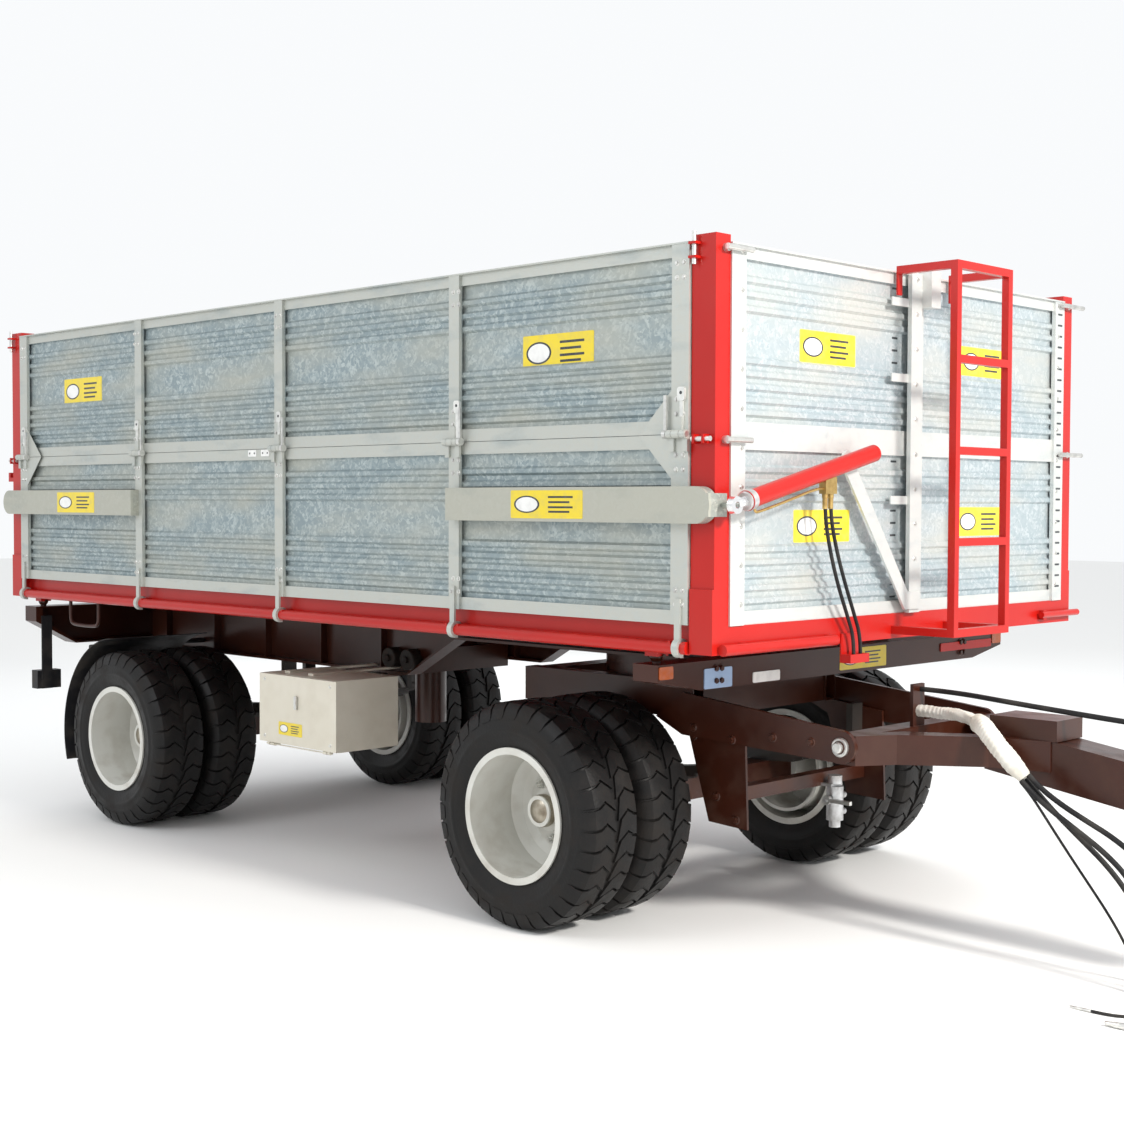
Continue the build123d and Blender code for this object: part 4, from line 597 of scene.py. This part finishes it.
WHEEL_BACK = {"front": 1.068, "rear": 4.030}
TURNS = 96
for end, back in WHEEL_BACK.items():
    for side, sign in (("right", -1), ("left", 1)):
        hub = Vector((FRONT - back, 0, AXLE_HEIGHT))
        form = bmesh.new()
        for middle in TWIN_PLACES:
            section = CARCASS + [(-y, r) for y, r in reversed(CARCASS)]
            rings = []
            for y, radius in section:
                rings.append([form.verts.new((hub.x + radius * math.cos(2 * math.pi * k / TURNS),
                                              sign * middle + y,
                                              hub.z + radius * math.sin(2 * math.pi * k / TURNS)))
                              for k in range(TURNS)])
            for first, second in zip(rings, rings[1:] + rings[:1]):
                for k in range(TURNS):
                    after = (k + 1) % TURNS
                    form.faces.new((first[k], first[after], second[after], second[k]))
        body = f"{end}_{side}_wheels"
        carcass = shaped(f"{end}_{side}_carcass", form, tyre_rubber, body, 0.7)
        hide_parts(f"{end}_{side}_tyres")
        form = bmesh.new()
        half_pitch = math.pi / LUGS
        for middle in TWIN_PLACES:
            place = (hub.x, sign * middle, hub.z)
            lug(form, 1, 0.0, place)
            lug(form, -1, half_pitch, place)
        grown(f"{end}_{side}_tread", plain_mesh("tread_lug", form), RING, tyre_rubber, body,
              "tyre_rubber", Count=LUGS, Centre=hub, Axis=(0, 1, 0))


# ---- wheel nuts and hub caps ---------------------------------------------------------------
# Ten hexagon nuts on washers hold each pair of rims on its hub, and a pressed cap closes the
# bearing. The caps are bare grey-bronze metal, the nuts bright zinc.
NUTS = 10
NUT_CIRCLE = 0.1375         # radius of the circle that the nuts stand on
NUT_SEAT = 0.8905           # the rim disc's outer face, from the middle of the trailer
CAP_SEAT = 0.984
CAP = [(0.0, 0.0655), (0.020, 0.0655), (0.026, 0.062), (0.028, 0.050), (0.034, 0.047), (0.040, 0.036),
       (0.043, 0.020), (0.044, 0.0)]
NUT = ((0.019, 0.005, 16), (0.0155, 0.020, 6), (0.0075, 0.032, 12))    # washer, hexagon, stud
cap_metal = bare_metal("cap_metal", (0.42, 0.38, 0.31), (0.24, 0.20, 0.15), 0.32, 140)


def thicken(form, face, push):
    """A flat face as a closed slab, pushed out along a vector."""
    raised = bmesh.ops.extrude_face_region(form, geom=[face])
    moved = [v for v in raised["geom"] if isinstance(v, bmesh.types.BMVert)]
    bmesh.ops.translate(form, verts=moved, vec=push)


for end, back in WHEEL_BACK.items():
    for side, sign in (("right", -1), ("left", 1)):
        hub = Vector((FRONT - back, 0, AXLE_HEIGHT))
        body = f"{end}_{side}_wheels"
        turned(f"{end}_{side}_hub_cap", CAP, hub + Vector((0, sign * CAP_SEAT, 0)), (0, sign, 0), cap_metal,
               body, 40)
        form = bmesh.new()
        for radius, depth, corners in NUT:
            turns = [2 * math.pi * k / corners for k in range(corners)]
            ring = [form.verts.new((hub.x + NUT_CIRCLE + radius * math.cos(t), sign * NUT_SEAT,
                                    hub.z + radius * math.sin(t))) for t in turns]
            thicken(form, form.faces.new(ring), (0, sign * depth, 0))
        grown(f"{end}_{side}_wheel_nuts", plain_mesh("wheel_nut", form), RING, bright_zinc, body, "zinc_pins",
              Count=NUTS, Centre=hub, Axis=(0, 1, 0))


# ---- maker's plates, reflectors and lamps --------------------------------------------------
# Thin plates fixed to the boards, arms, front wall, head beam and tool box. Each yellow one
# has a blank white field and plain bars in place of any wording.
def flat_paint(name, colour, roughness=0.4):
    made, tree, shader, place = blank_finish(name, roughness, coat=0.3)
    worn = mottle(tree, place, 30, 0.45, 0.8, 6)
    faded = tuple(0.75 * c + 0.06 for c in colour)
    tree.links.new(two_tone(tree, worn, colour, faded), shader.inputs["Base Color"])
    relief(tree, shader, worn, 0.0002, 0.3)
    return made


plate_yellow = flat_paint("plate_yellow", (0.78, 0.60, 0.02))
plate_white = flat_paint("plate_white", (0.80, 0.80, 0.78))
# Black is print on the makers' plates and also painted shade in the front wall's slots and in the holes of
# the rail plates and finger eyes.
plate_black = flat_paint("plate_black", (0.02, 0.025, 0.03))
plate_blue = flat_paint("plate_blue", (0.30, 0.42, 0.62))
reflector_amber = flat_paint("reflector_amber", (0.45, 0.09, 0.01), 0.15)
reflector_red = flat_paint("reflector_red", (0.50, 0.01, 0.01), 0.15)


def rounded_plate(name, middle, normal, right, size, thick, finish, body, slot, corner=0.006, oval=False):
    """A thin plate with rounded corners, or an oval, that stands proud along normal."""
    normal, right = Vector(normal), Vector(right)
    up = normal.cross(right)
    wide, high = size[0] / 2, size[1] / 2
    outline = []
    if oval:
        outline = [(wide * math.cos(math.pi * k / 16), high * math.sin(math.pi * k / 16)) for k in range(32)]
    else:
        for cx, cy, start in ((1, 1, 0), (-1, 1, 90), (-1, -1, 180), (1, -1, 270)):
            for k in range(5):
                turn = math.radians(start + 22.5 * k)
                outline.append((cx * (wide - corner) + corner * math.cos(turn),
                                cy * (high - corner) + corner * math.sin(turn)))
    form = bmesh.new()
    face = form.faces.new([form.verts.new(Vector(middle) + a * right + b * up) for a, b in outline])
    thicken(form, face, normal * thick)
    return shaped(name, form, finish, body, 0.4)


def surface_point(node, start, towards):
    """Where a line from start first meets a node."""
    return frame["nodes"][node].ray_cast(Vector(start), Vector(towards))[1]


PLATE_THICK = 0.0012
BAR_LEVELS = (0.26, 0.08, -0.10, -0.26)     # shares of the plate's height, from its middle


def makers_plate(name, middle, normal, right, size, body, slot):
    """A yellow plate with a ringed white field at its left and four bars at its right."""
    wide, high = size
    middle, out, right = Vector(middle), Vector(normal), Vector(right)
    up = out.cross(right)
    face = middle + out * PLATE_THICK
    ring = face - right * wide * 0.27
    rounded_plate(name, middle, out, right, size, PLATE_THICK, plate_yellow, body, slot)
    rounded_plate(name + "_rim", ring, out, right, (wide * 0.36, high * 0.62), 0.0004, plate_black, body,
                  slot, oval=True)
    rounded_plate(name + "_field", ring + out * 0.0004, out, right, (wide * 0.31, high * 0.52), 0.0003,
                  plate_white, body, slot, oval=True)
    for k, level in enumerate(BAR_LEVELS):
        place = face + right * wide * (0.20 - 0.02 * (k % 2)) + up * high * level
        bar = (wide * (0.34 - 0.05 * (k % 2)), high * 0.07)
        rounded_plate(f"{name}_bar_{k}", place, out, right, bar, 0.0003, plate_black, body, slot, 0.001)


SIDE_PLATES = {"upper_front": ("right_upper_board", "right_upper", -0.767, 2.229, 0.37, 0.135),
               "upper_rear": ("right_upper_board", "right_upper", -4.237, 2.241, 0.38, 0.132),
               "arm_front": ("lifting_arms", "right_lower", -0.754, 1.663, 0.375, 0.104),
               "arm_rear": ("lifting_arms", "right_lower", -4.191, 1.663, 0.375, 0.104)}
for name, (node, body, x, z, wide, high) in SIDE_PLATES.items():
    face = surface_point(node, (FRONT + x, -2.0, z), (0, 1, 0))
    makers_plate(f"plate_{name}", face, (0, -1, 0), (1, 0, 0), (wide, high), body, "galvanised_sheet")
WALL_PLATES = {"upper_right": (-0.563, 2.238), "upper_left": (0.525, 2.252), "lower_right": (-0.592, 1.587),
               "lower_left": (0.512, 1.597)}
for name, (y, z) in WALL_PLATES.items():
    face = surface_point("front_wall", (FRONT + 0.4, y, z), (-1, 0, 0))
    makers_plate(f"plate_front_{name}", face, (1, 0, 0), (0, 1, 0), (0.345, 0.118), "platform",
                 "galvanised_sheet")
head_face = surface_point("chassis_bolsters", (FRONT, 0.09, 1.04), (-1, 0, 0))
makers_plate("plate_head_beam", head_face, (1, 0, 0), (0, 1, 0), (0.33, 0.085), "chassis", "brown_paint")
box_face = surface_point("tool_box_lid", (FRONT - 2.66, -2.0, 0.62), (0, 1, 0))
makers_plate("plate_tool_box", box_face, (0, -1, 0), (1, 0, 0), (0.18, 0.06), "tool_box_lid",
             "white_box_paint")
HEAD_PIECES = {"amber_right": (-1.138, 1.062, 0.075, 0.046, reflector_amber),
               "blank_plate": (-0.846, 1.025, 0.160, 0.075, plate_blue),
               "white_reflector": (-0.556, 1.010, 0.165, 0.040, plate_white),
               "amber_left": (1.138, 1.062, 0.075, 0.046, reflector_amber)}
for name, (y, z, wide, high, finish) in HEAD_PIECES.items():
    face = surface_point("chassis_bolsters", (FRONT, y, z), (-1, 0, 0))
    rounded_plate(f"head_{name}", face, (1, 0, 0), (0, 1, 0), (wide, high), 0.004, finish, "chassis",
                  "lamp_housing")
red_face = surface_point("chassis_bolsters", (FRONT, 0.88, 1.045), (-1, 0, 0))
rounded_plate("head_red_strip", red_face, (1, 0, 0), (0, 1, 0), (0.42, 0.036), 0.005, body_red, "chassis",
              "red_paint")


# ---- rivets and bolts ----------------------------------------------------------------------
# Rivets in pairs hold the sheet to the stanchions of every board and of the front wall. Hexagon
# bolts with washers stand on the hanger plates and the head beam, and screws on the tool box lid.
def fixing_tree():
    """A hexagon head on a washer, or a dome, at each incoming point."""
    tree, given, new, link = opened_tree("fixing_at_points", Width="Float", Height="Float", Corners="Int",
                                         Direction="Vector")

    def scaled(value, share):
        made = new("ShaderNodeMath")
        made.operation = "MULTIPLY"
        made.inputs[1].default_value = share
        link(value, made.inputs[0])
        return made.outputs[0]

    together = new("GeometryNodeJoinGeometry")
    for share, tall, corners in ((0.5, 1.0, given.outputs["Corners"]), (0.72, 0.25, None)):
        head = new("GeometryNodeMeshCone")
        head.inputs["Vertices"].default_value = 14
        if corners:
            link(corners, head.inputs["Vertices"])
        link(scaled(given.outputs["Width"], share), head.inputs["Radius Bottom"])
        link(scaled(given.outputs["Width"], share * 0.82), head.inputs["Radius Top"])
        link(scaled(given.outputs["Height"], tall), head.inputs["Depth"])
        link(head.outputs["Mesh"], together.inputs["Geometry"])
    turn = new("FunctionNodeAlignRotationToVector")
    link(given.outputs["Direction"], turn.inputs["Vector"])
    copies = new("GeometryNodeInstanceOnPoints")
    link(given.outputs["Geometry"], copies.inputs["Points"])
    link(together.outputs["Geometry"], copies.inputs["Instance"])
    link(turn.outputs["Rotation"], copies.inputs["Rotation"])
    return closed_tree(tree, given, copies.outputs["Instances"])


FIXING = fixing_tree()


def fixings(name, node, starts, towards, finish, body, slot, width=0.014, height=0.006, corners=14):
    """Fixings where lines from the starts meet a node."""
    places = [surface_point(node, start, towards) for start in starts]
    mesh = bpy.data.meshes.new(name)
    mesh.from_pydata([p for p in places if p], [], [])
    grown(name, mesh, FIXING, finish, body, slot, Width=width, Height=height, Corners=corners,
          Direction=tuple(-c for c in towards))


TIERS = {"lower": (1.249, 1.905), "upper": (1.907, 2.563)}
SIDE_STANCHIONS = [-4.823, -3.667, -2.485, -1.303, -0.147]
REAR_STANCHIONS = [-1.115, 0.0, 1.115]
PAIR = (-0.016, 0.016)      # the two rivets of a pair, either side of a stanchion's middle
for tier, (low, high) in TIERS.items():
    levels = [low + 0.07, low + 0.12, high - 0.12, high - 0.07]
    for side, sign in (("right", -1), ("left", 1)):
        starts = [(FRONT + x + shift, sign * 2.0, z)
                  for x in SIDE_STANCHIONS for z in levels for shift in PAIR]
        fixings(f"{side}_{tier}_rivets", f"{side}_{tier}_board", starts, (0, -sign, 0), bright_zinc,
                f"{side}_{tier}", "zinc_pins")
    starts = [(FRONT - 6.0, y + shift, z) for y in REAR_STANCHIONS for z in levels for shift in PAIR]
    fixings(f"rear_{tier}_rivets", f"rear_{tier}_board", starts, (1, 0, 0), bright_zinc, f"rear_{tier}",
            "zinc_pins")
starts = [(FRONT + 0.4, y, 1.32 + 0.135 * k) for y in (-1.10, -0.047, 1.10) for k in range(10)]
fixings("front_wall_rivets", "front_wall", starts, (-1, 0, 0), bright_zinc, "platform", "zinc_pins")
HANGER_BOLTS = ((-0.70, 0.77), (-0.50, 0.74), (-0.60, 0.50), (-0.50, 0.42), (-0.72, 0.73), (-0.30, 0.77),
                (-0.12, 0.77))
for side, sign in (("right", -1), ("left", 1)):
    starts = [(FRONT + x, sign * 0.7, z) for x, z in HANGER_BOLTS]
    fixings(f"{side}_hanger_bolts", "bogie_frame", starts, (0, -sign, 0), chassis_enamel, "bogie",
            "brown_paint", 0.026, 0.014, 6)
starts = [(FRONT + x, -2.0, z) for x in (-2.36, -2.86) for z in (0.575, 0.84)]
fixings("tool_box_screws", "tool_box_lid", starts, (0, 1, 0), bright_zinc, "tool_box_lid", "zinc_pins",
        0.012, 0.005)
starts = [(FRONT + 1.0, y, z) for y in (-0.86, -0.83, 0.83, 0.86) for z in (1.06, 1.015)]
fixings("head_beam_bolts", "chassis_bolsters", starts, (-1, 0, 0), chassis_enamel, "chassis", "brown_paint",
        0.024, 0.012, 6)


# ---- painted shade in the slots of the front wall ------------------------------------------
# Rows of short slots beside the centre post and along the left stile, where loose slats can be
# hooked in. Each is a thin dark plate in the shape of the slot: painted shade in place of the opening.
def row_tree():
    """Repeats the incoming piece Count times, each Step from the last."""
    tree, given, new, link = opened_tree("row_of_pieces", Count="Int", Step="Vector")
    places = new("GeometryNodeMeshLine")
    link(given.outputs["Count"], places.inputs["Count"])
    link(given.outputs["Step"], places.inputs["Offset"])
    copies = new("GeometryNodeInstanceOnPoints")
    link(places.outputs["Mesh"], copies.inputs["Points"])
    link(given.outputs["Geometry"], copies.inputs["Instance"])
    return closed_tree(tree, given, copies.outputs["Instances"])


ROW = row_tree()
SLOTS = 26
SLOT_PITCH = 0.0475
FIRST_SLOT = 1.31
SLOT_SHAPE = [(-0.017, -0.004), (0.017, -0.004), (0.019, 0.0), (0.017, 0.004), (-0.017, 0.004),
              (-0.019, 0.0)]
for name, y in (("centre", -0.128), ("stile", 1.118)):
    face = surface_point("front_wall", (FRONT + 0.4, y, FIRST_SLOT), (-1, 0, 0))
    form = bmesh.new()
    base = form.faces.new([form.verts.new((face.x, y + a, FIRST_SLOT + b)) for a, b in SLOT_SHAPE])
    thicken(form, base, (0.0012, 0, 0))
    grown(f"front_wall_slots_{name}", plain_mesh("wall_slot", form), ROW, plate_black, "platform",
          "galvanised_sheet", Count=SLOTS, Step=(0, 0, SLOT_PITCH))


# ---- pins, rollers and loops ---------------------------------------------------------------
# The drawbar turns on two headed pins in the bogie's cheeks. Two rubber rollers on the right
# side beam carry the tail of the tipping cable, and a bent bar hangs under the rear of the rim.
PIN_HEAD = [(0.0, 0.036), (0.010, 0.036), (0.013, 0.032), (0.013, 0.021), (0.028, 0.021), (0.031, 0.017),
            (0.031, 0.0)]
PIN_PLACE = (FRONT + 0.015, 0.765)
for side, sign in (("right", -1), ("left", 1)):
    face = surface_point("bogie_frame", (PIN_PLACE[0] + 0.045, sign * 0.8, PIN_PLACE[1]), (0, -sign, 0))
    start = (PIN_PLACE[0], face.y, PIN_PLACE[1])
    turned(f"drawbar_pin_{side}", PIN_HEAD, start, (0, sign, 0), bright_zinc, "bogie", 36)
roller_rubber = rubber("roller_rubber", (0.02, 0.016, 0.014), (0.06, 0.045, 0.035), 60)
ROLLER = [(0.0, 0.014), (0.006, 0.014), (0.006, 0.046), (0.010, 0.050), (0.062, 0.050), (0.066, 0.046),
          (0.066, 0.016), (0.078, 0.016), (0.080, 0.012), (0.080, 0.0)]
for name, back in (("front", 2.475), ("rear", 2.609)):
    face = surface_point("chassis_side_beams", (FRONT - back, -0.8, 0.92), (0, 1, 0))
    turned(f"cable_roller_{name}", ROLLER, face, (0, -1, 0), roller_rubber, "chassis", 36)


def bent_bar(name, route, diameter, finish, body):
    """A bent bar or pipe as a plain mesh, its corners eased by a NURBS line."""
    source = lay_hose(name + "_source", route, diameter, finish)
    mesh = bpy.data.meshes.new_from_object(source.evaluated_get(bpy.context.evaluated_depsgraph_get()))
    bpy.data.objects.remove(source)
    mesh.name = name
    made = add(name, mesh)
    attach(made, body)
    return made


RIM_LOOP = [(-4.181, 1.153), (-4.181, 1.07), (-4.185, 1.03), (-4.22, 1.015), (-4.43, 1.015), (-4.465, 1.03),
            (-4.469, 1.07), (-4.469, 1.153)]
bent_bar("rim_loop", [(x, -1.17, z) for x, z in RIM_LOOP], 0.018, chassis_enamel, "platform")
for k, x in enumerate((-2.70, -2.60)):
    face = surface_point("right_lower_board", (FRONT + x, -2.0, 1.888), (0, 1, 0))
    rounded_plate(f"mid_rail_plate_{k}", face, (0, -1, 0), (1, 0, 0), (0.062, 0.030), 0.003, plate_white,
                  "right_lower", "galvanised_sheet")
    # The two black ovals on each plate are painted shade in place of its holes.
    for j, shift in enumerate((-0.018, 0.018)):
        hole = face + Vector((shift, -0.003, 0))
        rounded_plate(f"mid_rail_hole_shade_{k}_{j}", hole, (0, -1, 0), (1, 0, 0), (0.009, 0.009), 0.0004,
                      plate_black, "right_lower", "galvanised_sheet", oval=True)


# ---- tier fingers on the stanchions --------------------------------------------------------
# A forged finger rises from each mid hinge over the stanchion of the upper board and ends in a
# flat eye for the cover's cord. Hot-dip galvanised, so nearly white.
FINGER = (0.015, 0.110, 0.007)      # width, length, thickness
EYE = (0.034, 0.048, 0.010)
EYE_HOLE_SHADE = (0.012, 0.012, 0.0005)
finger_zinc = bare_metal("finger_zinc", (0.80, 0.80, 0.77), (0.58, 0.59, 0.57), 0.38, 120)
for side, sign in (("right", -1), ("left", 1)):
    turned_out = ((0, sign, 0), (-sign, 0, 0))
    body = f"{side}_upper"
    for k, x in enumerate(SIDE_STANCHIONS):
        face = surface_point(f"{side}_upper_board", (FRONT + x + 0.012, sign * 2.0, 2.01), (0, -sign, 0))
        rounded_plate(f"{side}_finger_{k}", face - Vector((0, 0, 0.040)), *turned_out, FINGER[:2], FINGER[2],
                      finger_zinc, body, "zinc_pins", 0.005)
        rounded_plate(f"{side}_finger_eye_{k}", face + Vector((0, 0, 0.034)), *turned_out, EYE[:2], EYE[2],
                      finger_zinc, body, "zinc_pins", 0.010)
        # The eye's hole is a black oval on its face: painted shade in place of the opening.
        rounded_plate(f"{side}_finger_hole_shade_{k}", face + Vector((0, sign * EYE[2], 0.038)), *turned_out,
                      EYE_HOLE_SHADE[:2], EYE_HOLE_SHADE[2], plate_black, body, "zinc_pins", oval=True)


# ---- cylinder hoses, gland and pipe --------------------------------------------------------
# Two thin hoses drop from the valve block to the rim of the platform. A steel gland closes the
# barrel, and a brass pipe feeds its far end.
DROPPING = {"cylinder_hose_right": [(0.072, -0.702, 1.704), (0.072, -0.702, 1.625), (0.07, -0.668, 1.505),
                                    (0.061, -0.604, 1.375), (0.046, -0.52, 1.255), (0.032, -0.458, 1.172),
                                    (0.032, -0.458, 1.11)],
            "cylinder_hose_left": [(0.072, -0.668, 1.704), (0.072, -0.668, 1.628), (0.071, -0.632, 1.512),
                                   (0.064, -0.568, 1.388), (0.05, -0.486, 1.266), (0.034, -0.418, 1.176),
                                   (0.034, -0.418, 1.11)]}
FERRULE = [(0.0, 0.0), (0.0, 0.0115), (0.014, 0.0115), (0.016, 0.0095), (0.052, 0.0095), (0.054, 0.0082),
           (0.054, 0.0)]
for name, route in DROPPING.items():
    line = lay_hose(name + "_guide", route, 0.0)
    path_mesh = bpy.data.meshes.new_from_object(line.evaluated_get(bpy.context.evaluated_depsgraph_get()))
    path = [v.co.copy() for v in path_mesh.vertices]
    line.data.bevel_depth = 0.007
    mesh = bpy.data.meshes.new_from_object(line.evaluated_get(bpy.context.evaluated_depsgraph_get()))
    bpy.data.objects.remove(line)
    hose = add(name + "_line", mesh)
    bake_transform(hose)
    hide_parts(name)
    length = sum((b - a).length for a, b in zip(path, path[1:]))
    turned(name + "_ferrule", FERRULE, from_front(route, 0), (0, 0, -1), brass, "side_cylinder",
           24)
barrel_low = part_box("cylinder_barrel")[0]
PIVOT = Vector((FRONT + 0.072, -0.510, 1.830))
ARM_PIN = Vector((FRONT + 0.072, -1.215, 1.663))
down_arm = (ARM_PIN - PIVOT).normalized()
barrel_end = PIVOT + down_arm * ((barrel_low.y + 0.006 - PIVOT.y) / down_arm.y)
GLAND = [(-0.030, 0.0325), (-0.030, 0.0365), (-0.006, 0.0365), (-0.004, 0.034), (0.004, 0.034),
         (0.007, 0.030), (0.007, 0.0185)]
turned("cylinder_gland", GLAND, barrel_end, down_arm, cast_alloy, "side_cylinder", 40)
under = Vector((0, 0, -1))
near = barrel_end - down_arm * 0.05
pipe = [near + under * 0.033, near + under * 0.050, near - down_arm * 0.03 + under * 0.054,
        near - down_arm * 0.20 + under * 0.054, Vector((FRONT + 0.072, -0.745, 1.725)),
        Vector((FRONT + 0.072, -0.716, 1.722))]
bent_bar("cylinder_pipe", [(p.x - FRONT, p.y, p.z) for p in pipe], 0.010, brass, "side_cylinder")


# ---- wrapped sleeve ------------------------------------------------------------------------
# The hoses leave the mast in a bundle that is bound with white cloth tape, laid in overlapping
# turns and thickest where it hangs in front of the bogie.
SLEEVE_ROUTE = [(0.062, -0.06, 0.868), (0.16, -0.06, 0.868), (0.268, -0.086, 0.870), (0.358, -0.130, 0.858),
                (0.424, -0.190, 0.850), (0.510, -0.210, 0.772), (0.600, -0.205, 0.684)]
guide = lay_hose("sleeve_guide", SLEEVE_ROUTE, 0.0)
guide.data.resolution_u = 40
guide_mesh = bpy.data.meshes.new_from_object(guide.evaluated_get(bpy.context.evaluated_depsgraph_get()))
line = [v.co.copy() for v in guide_mesh.vertices]
bpy.data.objects.remove(guide)
TAPE_TURNS = 40
TAPE_LAP = 0.0022           # how far each turn stands over the last
FACETS = 28
THIN, SWELL = 0.0215, 0.0125        # radius at the mast, and how much thicker it grows
TAPER_FROM = 0.93                   # share of the sleeve where its end draws in
form = bmesh.new()
rings = []
for k, place in enumerate(line):
    share = k / (len(line) - 1)
    along = (line[min(k + 1, len(line) - 1)] - line[max(k - 1, 0)]).normalized()
    side = along.cross(Vector((0, 0, 1))).normalized()
    other = side.cross(along)
    swell = min(max((share - 0.45) / 0.12, 0), 1)
    radius = THIN + SWELL * swell * swell * (3 - 2 * swell)
    if share > TAPER_FROM:
        radius *= 1 - 0.35 * ((share - TAPER_FROM) / (1 - TAPER_FROM)) ** 2
    ring = []
    for j in range(FACETS):
        turn = 2 * math.pi * j / FACETS
        lap = (share * TAPE_TURNS + j / FACETS) % 1.0
        crumple = 0.0009 * math.sin(5 * turn + 23 * share) + 0.0008 * math.sin(3 * turn - 61 * share)
        reach = radius + TAPE_LAP * lap + crumple
        ring.append(form.verts.new(place + reach * (math.cos(turn) * side + math.sin(turn) * other)))
    rings.append(ring)
for first, second in zip(rings, rings[1:]):
    for j in range(FACETS):
        after = (j + 1) % FACETS
        form.faces.new((first[j], first[after], second[after], second[j]))
form.faces.new(rings[0])
form.faces.new(rings[-1])
sleeve = shaped("wrapped_sleeve", form, wrap_cloth, "drawbar", 0.9)
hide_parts("hose_sleeve")


# ---- lamps ---------------------------------------------------------------------------------
# A red and an amber lens are screwed to the back of each lamp housing, side by side. They are
# moulded plastic with rounded corners.
lamp_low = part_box("rear_lamps")[0]
for side, sign in (("right", -1), ("left", 1)):
    for name, shift, finish in (("red", -0.033, reflector_red), ("amber", 0.036, reflector_amber)):
        face = surface_point("rear_lamps", (lamp_low.x - 0.5, sign * 1.105 + shift, 0.69), (1, 0, 0))
        rounded_plate(f"{side}_lens_{name}", face, (-1, 0, 0), (0, 1, 0), (0.058, 0.080), 0.008, finish,
                      "chassis", "lamp_housing", 0.012)
